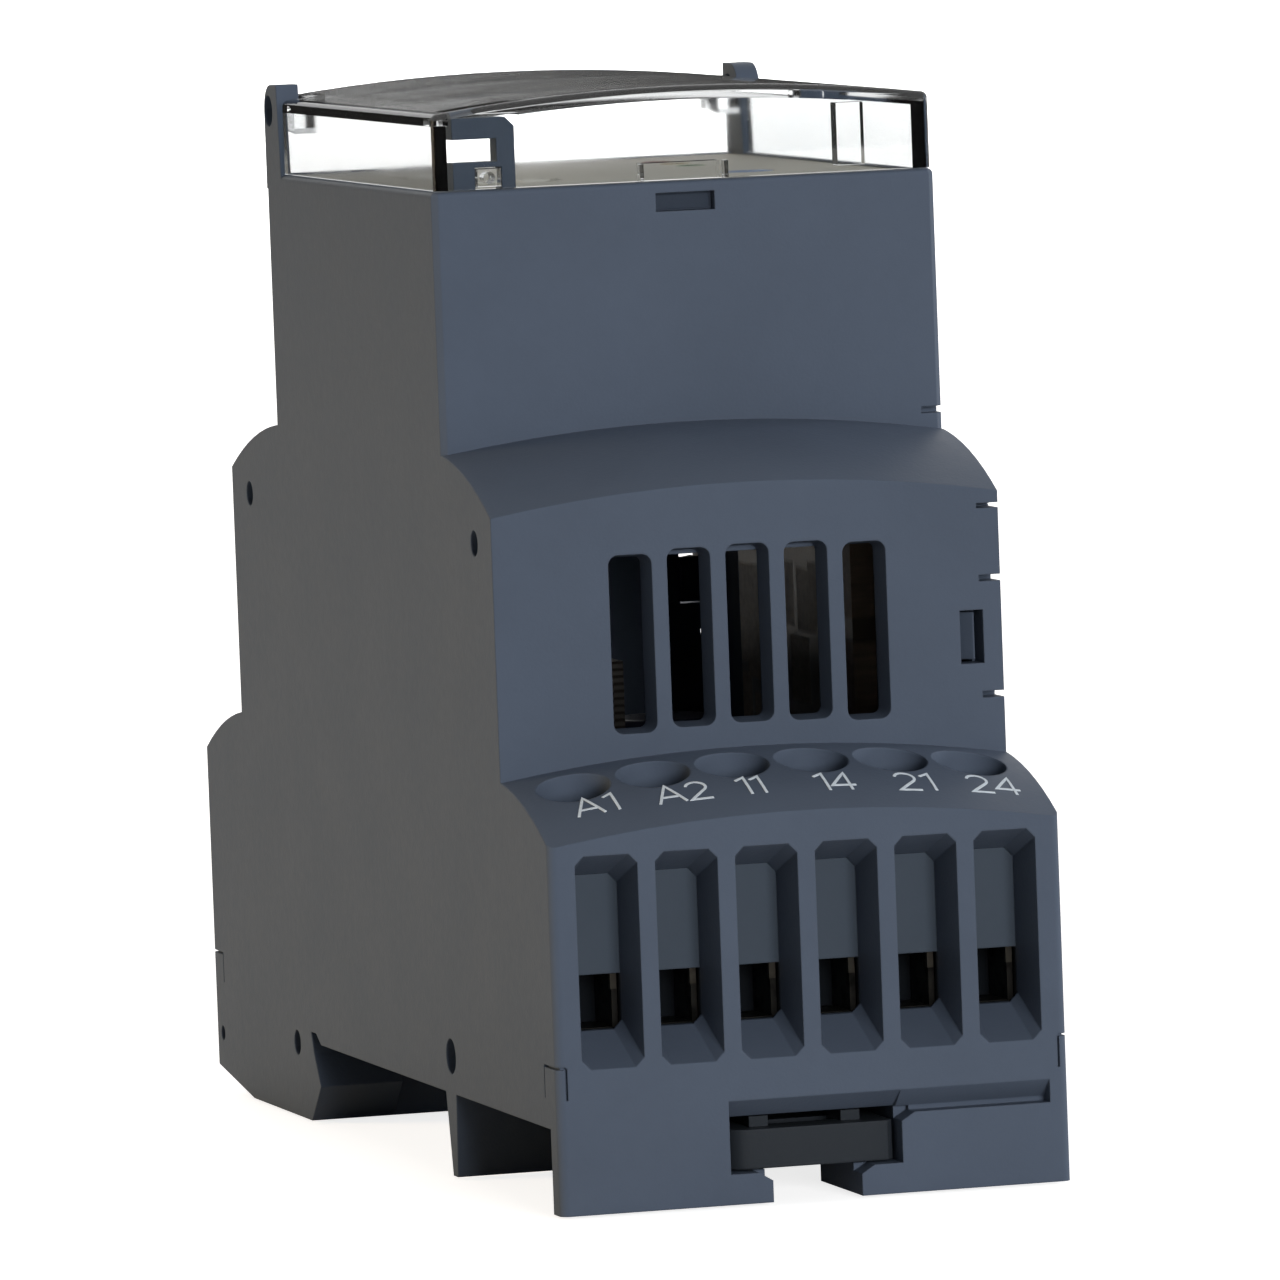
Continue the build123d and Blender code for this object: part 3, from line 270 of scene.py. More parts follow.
@dataclass(frozen=True)
class Finish:
    """What every finish of this relay shares: a name and how its surface is made."""

    name: str

    def start(self) -> tuple[bpy.types.Material, Graph, bpy.types.Node, Wire]:
        """Make an empty material.

        Returns:
            The material, its graph, its main shader and the wire of object coordinates.
        """
        material = bpy.data.materials.new(self.name)
        material.use_nodes = True
        tree = material.node_tree
        tree.nodes.clear()
        graph = Graph(tree)
        output = graph.node("ShaderNodeOutputMaterial")
        shader = graph.node("ShaderNodeBsdfPrincipled")
        tree.links.new(shader.outputs[0], output.inputs["Surface"])
        place = graph.add("ShaderNodeTexCoord", None, None, out="Object")
        return material, graph, shader, place

    def make(self) -> bpy.types.Material:
        """Build the material."""
        raise NotImplementedError


@dataclass(frozen=True)
class MouldedPlastic(Finish):
    """Injection moulded plastic: faint flow marks, fine spark grain, softly lit edges whose lighter
    colour is edge wear and painted highlight, and optional painted shade deep inside.
    """

    colour: Colour
    roughness: float = 0.42
    grain_size: float = 0.22 * MM
    grain_depth: float = 0.012 * MM
    flow_size: float = 9.0 * MM
    flow_contrast: float = 0.05
    edge_radius: float = 0.18 * MM
    edge_lift: float = 0.10
    specular: float = 0.2
    painted_shade_within: float = -1.0

    def make(self) -> bpy.types.Material:
        """Build the material."""
        material, graph, shader, place = self.start()
        flow = graph.noise(place, 1 / self.flow_size, 3.0, 1.7)
        speckle = graph.noise(place, 1 / (4 * self.grain_size), 2.0, 4.1)
        grain = graph.noise(place, 1 / self.grain_size, 1.0, 7.3)
        soft = graph.add("ShaderNodeBevel", {"samples": 6}, {"Radius": self.edge_radius})
        flat = graph.add("ShaderNodeNewGeometry", None, None, out="Normal")
        turn = graph.add(
            "ShaderNodeVectorMath", {"operation": "DOT_PRODUCT"}, {0: soft, 1: flat}, out="Value"
        )
        edge = graph.spread(1 - turn, 0.005, 0.20, 0.0, self.edge_lift)
        darker = tuple(c * (1 - self.flow_contrast) for c in self.colour)
        lighter = tuple(min(1.0, c * (1 + self.flow_contrast)) for c in self.colour)
        # Lighter edge colour along the bevel mask: edge wear, and also a painted highlight on the
        # rounded edges.
        wear_and_edge_highlight = tuple(min(1.0, c * 1.5 + 0.05) for c in self.colour)
        base = graph.mix(graph.spread(flow + 0.35 * speckle, 0.45, 0.9, 0.0, 1.0), darker, lighter)
        # Painted shade: where |y| is below painted_shade_within the colour goes almost black,
        # standing for the shade on parts set back inside the terminal chambers; the default leaves it
        # off.
        along = graph.add("ShaderNodeSeparateXYZ", None, {0: place}, out="Y")
        reach = along.largest(-1.0 * along)
        painted_shade_share = graph.spread(reach, self.painted_shade_within - 0.1 * MM, self.painted_shade_within, 1.0, 0.0)
        painted_shade_colour = tuple(0.12 * c for c in self.colour)
        graph.feed(shader, "Base Color", graph.mix(painted_shade_share, graph.mix(edge, base, wear_and_edge_highlight), painted_shade_colour))
        graph.feed(
            shader,
            "Roughness",
            graph.spread(
                0.6 * flow + 0.4 * speckle,
                0.3,
                0.7,
                self.roughness - 0.05,
                self.roughness + 0.06,
            ),
        )
        graph.feed(
            shader,
            "Normal",
            graph.add(
                "ShaderNodeBump",
                None,
                {
                    "Strength": 1.0,
                    "Distance": self.grain_depth,
                    "Height": grain + 0.5 * speckle,
                    "Normal": soft,
                },
            ),
        )
        graph.feed(shader, "Specular IOR Level", self.specular)
        return material


@dataclass(frozen=True)
class ClearPlastic(Finish):
    """Clear polycarbonate with faint waves and handling haze."""

    tint: Colour = (0.93, 0.95, 0.96)
    roughness: float = 0.03
    refraction: float = 1.585

    def make(self) -> bpy.types.Material:
        """Build the material."""
        material, graph, shader, place = self.start()
        haze = graph.noise(place, 1 / (6 * MM), 4.0, 2.2)
        wave = graph.noise(place, 1 / (11 * MM), 1.0, 5.4)
        graph.feed(
            shader,
            "Base Color",
            graph.mix(graph.spread(haze, 0.3, 0.7, 0.0, 1.0), self.tint, (0.97, 0.98, 0.98)),
        )
        graph.feed(
            shader, "Roughness", graph.spread(haze, 0.35, 0.7, self.roughness, self.roughness + 0.04)
        )
        graph.feed(
            shader,
            "Normal",
            graph.add(
                "ShaderNodeBump", None, {"Strength": 1.0, "Distance": 0.02 * MM, "Height": wave}
            ),
        )
        shader.inputs["Transmission Weight"].default_value = 1.0
        shader.inputs["IOR"].default_value = self.refraction
        through = graph.node(
            "ShaderNodeBsdfTransparent", None, {"Color": (0.86, 0.88, 0.88)}
        )
        shadow = graph.add("ShaderNodeLightPath", None, None, out="Is Shadow Ray")
        both = graph.node("ShaderNodeMixShader", None, {0: shadow, 1: shader.outputs[0]})
        graph.feed(both, 2, through.outputs[0])
        output = next(n for n in graph.tree.nodes if n.type == "OUTPUT_MATERIAL")
        graph.tree.links.new(both.outputs[0], output.inputs["Surface"])
        return material


@dataclass(frozen=True)
class PlatedMetal(Finish):
    """Bright metal with fine brushing and a few dull spots."""

    colour: Colour
    dull: Colour
    roughness: float = 0.3
    brush: float = 0.006 * MM
    metallic: float = 1.0

    def make(self) -> bpy.types.Material:
        """Build the material."""
        material, graph, shader, place = self.start()
        stretched = graph.add(
            "ShaderNodeMapping", {"vector_type": "POINT"}, {"Vector": place, "Scale": (1.0, 1.0, 8.0)}
        )
        brushing = graph.noise(stretched, 1 / (0.35 * MM), 3.0, 3.9)
        spots = graph.noise(place, 1 / (1.6 * MM), 4.0, 8.8)
        dulled = graph.spread(spots, 0.48, 0.68, 0.0, 1.0)
        graph.feed(shader, "Base Color", graph.mix(dulled, self.colour, self.dull))
        graph.feed(
            shader,
            "Roughness",
            graph.spread(
                dulled + 0.5 * brushing, 0.2, 1.2, self.roughness - 0.08, self.roughness + 0.2
            ),
        )
        graph.feed(
            shader,
            "Normal",
            graph.add(
                "ShaderNodeBump", None, {"Strength": 1.0, "Distance": self.brush, "Height": brushing}
            ),
        )
        shader.inputs["Metallic"].default_value = self.metallic
        return material


@dataclass(frozen=True)
class BoardLaminate(Finish):
    """Paper laminate of a circuit board, with fibres and solder resist tracks."""

    colour: Colour
    track: Colour
    track_pitch: float = 2.54 * MM

    def make(self) -> bpy.types.Material:
        """Build the material."""
        material, graph, shader, place = self.start()
        fibres = graph.noise(
            graph.add(
                "ShaderNodeMapping",
                {"vector_type": "POINT"},
                {"Vector": place, "Scale": (1.0, 6.0, 6.0)},
            ),
            1 / (2.5 * MM),
            5.0,
            0.6,
        )
        cells = graph.add(
            "ShaderNodeTexVoronoi",
            {"distance": "CHEBYCHEV", "feature": "F1"},
            {"Vector": place, "Scale": 1 / (2 * self.track_pitch), "Randomness": 0.65},
            out="Distance",
        )
        tracks = graph.spread(cells, 0.40, 0.46, 0.0, 1.0)
        base = graph.mix(
            graph.spread(fibres, 0.3, 0.7, 0.0, 1.0),
            tuple(0.8 * c for c in self.colour),
            tuple(1.15 * c for c in self.colour),
        )
        graph.feed(shader, "Base Color", graph.mix(tracks, base, self.track))
        graph.feed(shader, "Roughness", graph.spread(fibres + tracks, 0.3, 1.6, 0.5, 0.32))
        graph.feed(
            shader,
            "Normal",
            graph.add(
                "ShaderNodeBump",
                None,
                {"Strength": 1.0, "Distance": 0.03 * MM, "Height": tracks + 0.3 * fibres},
            ),
        )
        return material


@dataclass(frozen=True)
class StackedSheets(Finish):
    """Transformer iron: thin sheets on edge around taped windings."""

    colour: Colour
    gap: Colour
    sheet: float = 0.5 * MM

    def make(self) -> bpy.types.Material:
        """Build the material."""
        material, graph, shader, place = self.start()
        bands = graph.add(
            "ShaderNodeTexWave",
            {"wave_type": "BANDS", "bands_direction": "Z", "wave_profile": "SIN"},
            {"Vector": place, "Scale": 0.314 / self.sheet, "Distortion": 0.4, "Detail": 1.0},
        )
        stain = graph.noise(place, 1 / (3 * MM), 4.0, 6.6)
        lines = graph.spread(bands, 0.1, 0.5, 0.0, 1.0)
        base = graph.mix(lines, self.gap, self.colour)
        graph.feed(
            shader, "Base Color", graph.mix(graph.spread(stain, 0.5, 0.75, 0.0, 0.6), base, self.gap)
        )
        graph.feed(shader, "Roughness", graph.spread(stain, 0.3, 0.7, 0.35, 0.6))
        graph.feed(
            shader,
            "Normal",
            graph.add(
                "ShaderNodeBump", None, {"Strength": 1.0, "Distance": 0.05 * MM, "Height": lines}
            ),
        )
        shader.inputs["Metallic"].default_value = 0.4
        return material


@dataclass(frozen=True)
class LightGuide(Finish):
    """Tinted see-through lens of a status light."""

    colour: Colour

    def make(self) -> bpy.types.Material:
        """Build the material."""
        material, graph, shader, place = self.start()
        cloud = graph.noise(place, 1 / (0.8 * MM), 2.0, 9.1)
        graph.feed(
            shader,
            "Base Color",
            graph.mix(
                graph.spread(cloud, 0.35, 0.65, 0.0, 1.0),
                self.colour,
                tuple(min(1.0, 1.25 * c + 0.03) for c in self.colour),
            ),
        )
        graph.feed(shader, "Roughness", graph.spread(cloud, 0.3, 0.7, 0.12, 0.24))
        shader.inputs["Transmission Weight"].default_value = 0.35
        shader.inputs["IOR"].default_value = 1.5
        return material


@dataclass(frozen=True)
class PrintInk(Finish):
    """Pad printed ink, thin and a little uneven."""

    colour: Colour

    def make(self) -> bpy.types.Material:
        """Build the material."""
        material, graph, shader, place = self.start()
        cover = graph.noise(place, 1 / (0.3 * MM), 3.0, 1.1)
        graph.feed(
            shader,
            "Base Color",
            graph.mix(
                graph.spread(cover, 0.35, 0.7, 0.0, 1.0),
                self.colour,
                tuple(0.86 * c for c in self.colour),
            ),
        )
        graph.feed(shader, "Roughness", graph.spread(cover, 0.3, 0.7, 0.45, 0.6))
        graph.feed(
            shader,
            "Normal",
            graph.add(
                "ShaderNodeBump", None, {"Strength": 1.0, "Distance": 0.004 * MM, "Height": cover}
            ),
        )
        return material


FINISHES: dict[Slot, Finish] = {
    Slot.HOUSING: MouldedPlastic("housing_plastic", (0.067, 0.085, 0.119), roughness=0.46),
    Slot.CLEAR: ClearPlastic("cover_plastic"),
    # The carrier's set-back parts inside the terminal chambers get painted shade (almost black).
    Slot.CARRIER: MouldedPlastic(
        "carrier_plastic", linear(62, 70, 80), roughness=0.5, painted_shade_within=40.8 * MM
    ),
    Slot.CLIP: MouldedPlastic("clip_plastic", linear(40, 44, 49), roughness=0.42),
    Slot.ZINC: PlatedMetal("zinc_plate", (0.46, 0.46, 0.44), (0.24, 0.24, 0.23), 0.38),
    Slot.BRASS: PlatedMetal("contact_metal", (0.17, 0.155, 0.13), (0.06, 0.055, 0.045), 0.42),
    Slot.PANEL: MouldedPlastic("panel_plastic", linear(206, 204, 199), roughness=0.6),
    Slot.BOARD: BoardLaminate("board_laminate", linear(128, 112, 94), linear(96, 88, 74)),
    Slot.RELAY: MouldedPlastic("relay_case_plastic", linear(34, 31, 29), roughness=0.5),
    Slot.CORE: StackedSheets("core_sheets", linear(52, 50, 48), linear(26, 23, 21)),
    Slot.SLEEVE: MouldedPlastic(
        "sleeve_film", linear(24, 26, 36), roughness=0.3, grain_depth=0.003 * MM
    ),
    Slot.KNOB: MouldedPlastic("knob_plastic", linear(226, 226, 222), roughness=0.4),
    Slot.BUTTON: MouldedPlastic("button_plastic", linear(40, 92, 150), roughness=0.35),
    Slot.GREEN: LightGuide("green_lens", linear(60, 170, 80)),
    Slot.YELLOW: LightGuide("yellow_lens", linear(220, 180, 50)),
    Slot.RED: LightGuide("red_lens", linear(190, 50, 44)),
}

# Zinc plate darkened to about a sixth: painted shade on the cages inside the terminal chambers.
PAINTED_SHADE_CAGE_METAL = PlatedMetal("painted_shade_cage_metal", (0.075, 0.072, 0.066), (0.03, 0.03, 0.028), 0.5)
# A darker copy of the housing plastic: painted shade for the floor of the latch recess.
RECESS_PAINTED_SHADE = MouldedPlastic("recess_painted_shade", (0.030, 0.039, 0.056), roughness=0.5)

NODE_SLOTS: dict[str, Slot] = {
    "housing": Slot.HOUSING,
    "side_cover": Slot.HOUSING,
    "clear_cover": Slot.CLEAR,
    "din_clip": Slot.CLIP,
    "front_panel": Slot.PANEL,
    "terminal_carrier": Slot.CARRIER,
    "terminal_screw": Slot.ZINC,
    "terminal_cage": Slot.ZINC,
    "contact_bar": Slot.BRASS,
    "base_board": Slot.BOARD,
    "front_board": Slot.BOARD,
    "riser_board": Slot.BOARD,
    "output_relay": Slot.RELAY,
    "transformer": Slot.CORE,
    "capacitor": Slot.SLEEVE,
    "selector_base": Slot.RELAY,
    "delay_base": Slot.RELAY,
    "selector_knob": Slot.KNOB,
    "delay_knob": Slot.KNOB,
    "button_switch": Slot.RELAY,
    "reset_button": Slot.BUTTON,
    "power_light": Slot.GREEN,
    "relay_light": Slot.YELLOW,
    "fault_light": Slot.RED,
}


class Wardrobe:
    """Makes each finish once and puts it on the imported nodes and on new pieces."""

    def __init__(self) -> None:
        """Build all finishes."""
        self.materials = {slot: finish.make() for slot, finish in FINISHES.items()}
        self.painted_shade_cage_metal = PAINTED_SHADE_CAGE_METAL.make()
        self.recess_painted_shade = RECESS_PAINTED_SHADE.make()
        self.ink = PrintInk("label_ink", linear(214, 224, 233)).make()
        self.dark_ink = PrintInk("scale_ink", linear(40, 44, 50)).make()

    def dress_nodes(self) -> None:
        """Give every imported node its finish."""
        for name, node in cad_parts.items():
            stem = max((s for s in NODE_SLOTS if name.startswith(s)), key=len)
            node.data.materials.clear()
            usual = self.materials[NODE_SLOTS[stem]]
            # Cages take the darkened zinc copy: painted shade.
            node.data.materials.append(self.painted_shade_cage_metal if stem == "terminal_cage" else usual)
            LOG.info("dressed %s as %s", name, NODE_SLOTS[stem].value)

    def settle(
        self, piece: bpy.types.Object, body: str, slot: Slot, material: bpy.types.Material
    ) -> None:
        """Dress a new piece and tie it to its body.

        Args:
            piece: The finished piece, at the origin.
            body: The body it moves with.
            slot: Not used.
            material: What it is made of.
        """
        piece.data.materials.clear()
        piece.data.materials.append(material)
        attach(piece, body)
        LOG.info("made %s on %s, %d faces", piece.name, body, len(piece.data.polygons))


def mesh_piece(name: str, mesh: bmesh.types.BMesh) -> bpy.types.Object:
    """Turn a finished bmesh into an object in the scene.

    Args:
        name: The piece's name.
        mesh: The mesh, which is freed.

    Returns:
        The new object.
    """
    data = bpy.data.meshes.new(name)
    mesh.to_mesh(data)
    mesh.free()
    piece = bpy.data.objects.new(name, data)
    bpy.context.scene.collection.objects.link(piece)
    return piece


class NodeShape:
    """A geometry node group with named inputs, run once for each piece that it makes."""

    def __init__(self, name: str, inputs: dict[str, str]) -> None:
        """Make the group's sockets.

        Args:
            name: The group's name.
            inputs: Socket type by input name.
        """
        self.tree = bpy.data.node_groups.new(name, "GeometryNodeTree")
        self.tree.interface.new_socket("Geometry", in_out="OUTPUT", socket_type="NodeSocketGeometry")
        self.keys = {
            label: self.tree.interface.new_socket(label, in_out="INPUT", socket_type=kind).identifier
            for label, kind in inputs.items()
        }
        self.graph = Graph(self.tree)
        self.inlet = self.graph.node("NodeGroupInput")

    def given(self, label: str) -> Wire:
        """The wire of one named input."""
        return Wire(self.graph, self.inlet.outputs[label])

    def vector(self, x: Any, y: Any, z: Any) -> Wire:
        """Join three values into a vector."""
        return self.graph.add("ShaderNodeCombineXYZ", None, {"X": x, "Y": y, "Z": z})

    def moved(self, shape: Wire, shift: Any, turn: Any = (0.0, 0.0, 0.0)) -> Wire:
        """Shift and turn a shape."""
        return self.graph.add(
            "GeometryNodeTransform", None, {"Geometry": shape, "Translation": shift, "Rotation": turn}
        )

    def joined(self, shapes: Sequence[Wire]) -> Wire:
        """Join shapes into one."""
        join = self.graph.node("GeometryNodeJoinGeometry")
        for shape in reversed(shapes):
            self.tree.links.new(shape.socket, join.inputs[0])
        return Wire(self.graph, join.outputs[0])

    def close(self, shape: Wire) -> None:
        """End the group: real faces with the given material."""
        real = self.graph.add("GeometryNodeRealizeInstances", None, {"Geometry": shape})
        dressed = self.graph.add(
            "GeometryNodeSetMaterial", None, {"Geometry": real, "Material": self.given("Material")}
        )
        self.graph.node("NodeGroupOutput", None, {0: dressed})

    def run(self, name: str, values: dict[str, Any]) -> bpy.types.Object:
        """Run the group and keep its mesh.

        Args:
            name: Name of the piece.
            values: Value by input name.

        Returns:
            A plain mesh object at the origin.
        """
        piece = bpy.data.objects.new(name, bpy.data.meshes.new(name))
        bpy.context.scene.collection.objects.link(piece)
        modifier = piece.modifiers.new("shape", "NODES")
        modifier.node_group = self.tree
        for label, value in values.items():
            modifier[self.keys[label]] = value
        bpy.context.view_layer.update()
        scene_state = bpy.context.evaluated_depsgraph_get()
        made = bpy.data.meshes.new_from_object(piece.evaluated_get(scene_state))
        piece.modifiers.clear()
        piece.data = made
        tidy = bmesh.new()
        tidy.from_mesh(made)
        bmesh.ops.recalc_face_normals(tidy, faces=tidy.faces[:])
        tidy.to_mesh(made)
        tidy.free()
        return piece


def arc(centre: Point, across: float, up: float, start: float, end: float) -> list[Point]:
    """Points along part of an upright ellipse, from one angle to another.

    Args:
        centre: The ellipse's centre.
        across: Its half width.
        up: Its half height.
        start: First angle in degrees.
        end: Last angle in degrees.

    Returns:
        The points in order.
    """
    turn = (end - start) / ARC_STEPS
    angles = [math.radians(start + turn * step) for step in range(ARC_STEPS + 1)]
    return [(centre[0] + across * math.cos(a), centre[1] + up * math.sin(a)) for a in angles]


# Width of each character and its pen strokes, in shares of a capital's height
STROKES: dict[str, tuple[float, list[list[Point]]]] = {
    "1": (0.28, [[(0.0, 0.82), (0.28, 1.0), (0.28, 0.0)]]),
    "2": (0.64, [arc((0.31, 0.71), 0.29, 0.29, 165, -38) + [(0.0, 0.0), (0.64, 0.0)]]),
    "4": (0.70, [[(0.52, 0.0), (0.52, 1.0), (0.0, 0.27), (0.70, 0.27)]]),
    "A": (0.80, [[(0.0, 0.0), (0.40, 1.0), (0.80, 0.0)], [(0.14, 0.32), (0.66, 0.32)]]),
}


def lettering(text: str, height: float, thickness: float, pen: float) -> bmesh.types.BMesh:
    """Make flat raised lettering from pen strokes, centred on the origin in the XY plane.

    Args:
        text: What it says.
        height: Height of a capital.
        thickness: How far it stands up.
        pen: Width of a stroke.

    Returns:
        The lettering as a mesh of small faces.
    """
    width = sum(STROKES[letter][0] for letter in text) + LETTER_GAP * (len(text) - 1)
    mesh = bmesh.new()
    start = -width / 2
    for letter in text:
        reach, strokes = STROKES[letter]
        for stroke in strokes:
            line = [Vector(((start + x) * height, (y - 0.5) * height)) for x, y in stroke]
            pen_stroke(mesh, line, pen)
        start += reach + LETTER_GAP
    top = bmesh.ops.extrude_face_region(mesh, geom=mesh.faces[:])
    for item in top["geom"]:
        if isinstance(item, bmesh.types.BMVert):
            item.co.z += thickness
    bmesh.ops.recalc_face_normals(mesh, faces=mesh.faces[:])
    return mesh


def pen_stroke(mesh: bmesh.types.BMesh, line: Sequence[Vector], pen: float) -> None:
    """Lay one stroke of even width with mitred corners along a line.

    Args:
        mesh: The mesh that it is added to.
        line: Its points.
        pen: Its width.
    """
    fine: list[Vector] = []
    for first, second in zip(line, line[1:]):
        parts = max(1, round((second - first).length / (2 * pen)))
        fine += [first.lerp(second, part / parts) for part in range(parts)]
    fine.append(line[-1])
    rows = []
    for index, point in enumerate(fine):
        before = (point - fine[index - 1]).normalized() if index else None
        after = (fine[index + 1] - point).normalized() if index + 1 < len(fine) else None
        ways = [way for way in (before, after) if way is not None]
        sides = [Vector((-way.y, way.x)) for way in ways]
        side = sum(sides, Vector((0.0, 0.0))).normalized()
        reach = pen / 2 / max(SHARPEST_MITRE, side.dot(sides[0]))
        rows.append([mesh.verts.new((*(point + side * reach * sign), 0.0)) for sign in (1, -1)])
    for (a, b), (c, d) in zip(rows, rows[1:]):
        mesh.faces.new((a, b, d, c))


@dataclass
class Shoulder:
    """The arched lower shoulder, as the housing's own sizes give it, in metres."""

    half_width: float = 17.5 * MM
    half_base: float = 45.0 * MM
    half_middle: float = 34.0 * MM
    top: float = 27.6 * MM
    half_drop: float = 1.15 * MM
    drop: float = 3.45 * MM
    crown_radius: float = 105.0 * MM

    def height(self, x: float, y: float) -> float:
        """Height of the shoulder's surface over a point.

        Args:
            x: Place across the housing.
            y: Place along it.

        Returns:
            The surface's height there.
        """
        rise = self.crown_radius - math.sqrt(self.crown_radius**2 - self.half_width**2)
        low = Vector((self.half_base, self.top - self.drop))
        mid = Vector(((self.half_base + self.half_middle) / 2, self.top - self.half_drop))
        high = Vector((self.half_middle, self.top))
        centre, radius = circle_through(low, mid, high)
        section = centre.y + math.sqrt(max(0.0, radius**2 - (abs(y) - centre.x) ** 2)) + rise
        axis = self.top + rise - self.crown_radius
        return axis + math.sqrt((section - axis) ** 2 - x**2)


def circle_through(a: Vector, b: Vector, c: Vector) -> tuple[Vector, float]:
    """The circle through three points in a plane.

    Args:
        a: First point.
        b: Second point.
        c: Third point.

    Returns:
        Its centre and radius.
    """
    d = 2 * (a.x * (b.y - c.y) + b.x * (c.y - a.y) + c.x * (a.y - b.y))
    aa, bb, cc = a.length_squared, b.length_squared, c.length_squared
    centre = Vector((
        (aa * (b.y - c.y) + bb * (c.y - a.y) + cc * (a.y - b.y)) / d,
        (aa * (c.x - b.x) + bb * (a.x - c.x) + cc * (b.x - a.x)) / d,
    ))
    return centre, (a - centre).length


@dataclass
class TerminalNumbers:
    """Printed terminal numbers on the near lower shoulder."""

    wardrobe: Wardrobe
    shoulder: Shoulder = field(default_factory=Shoulder)
    height: float = 2.28 * MM
    pen: float = 0.19 * MM
    ink_thickness: float = 0.03 * MM
    sink: float = 0.01 * MM
    places: tuple[tuple[str, float, float], ...] = (
        ("A1", -13.17, -41.23),
        ("A2", -7.26, -41.5),
        ("11", -2.63, -41.58),
        ("14", 3.15, -41.75),
        ("21", 8.56, -41.81),
        ("24", 14.05, -41.69),
    )

    def build(self) -> None:
        """Lay each number on the arched shoulder."""
        for text, x, y in self.places:
            mesh = lettering(text, self.height, self.ink_thickness, self.pen)
            for vertex in mesh.verts:
                px, py = vertex.co.x + x * MM, vertex.co.y + y * MM
                lift = vertex.co.z - self.sink
                vertex.co = Vector((px, py, self.shoulder.height(px, py) + lift))
            piece = mesh_piece(f"terminal_number_{text}", mesh)
            self.wardrobe.settle(piece, "case", Slot.KNOB, self.wardrobe.ink)


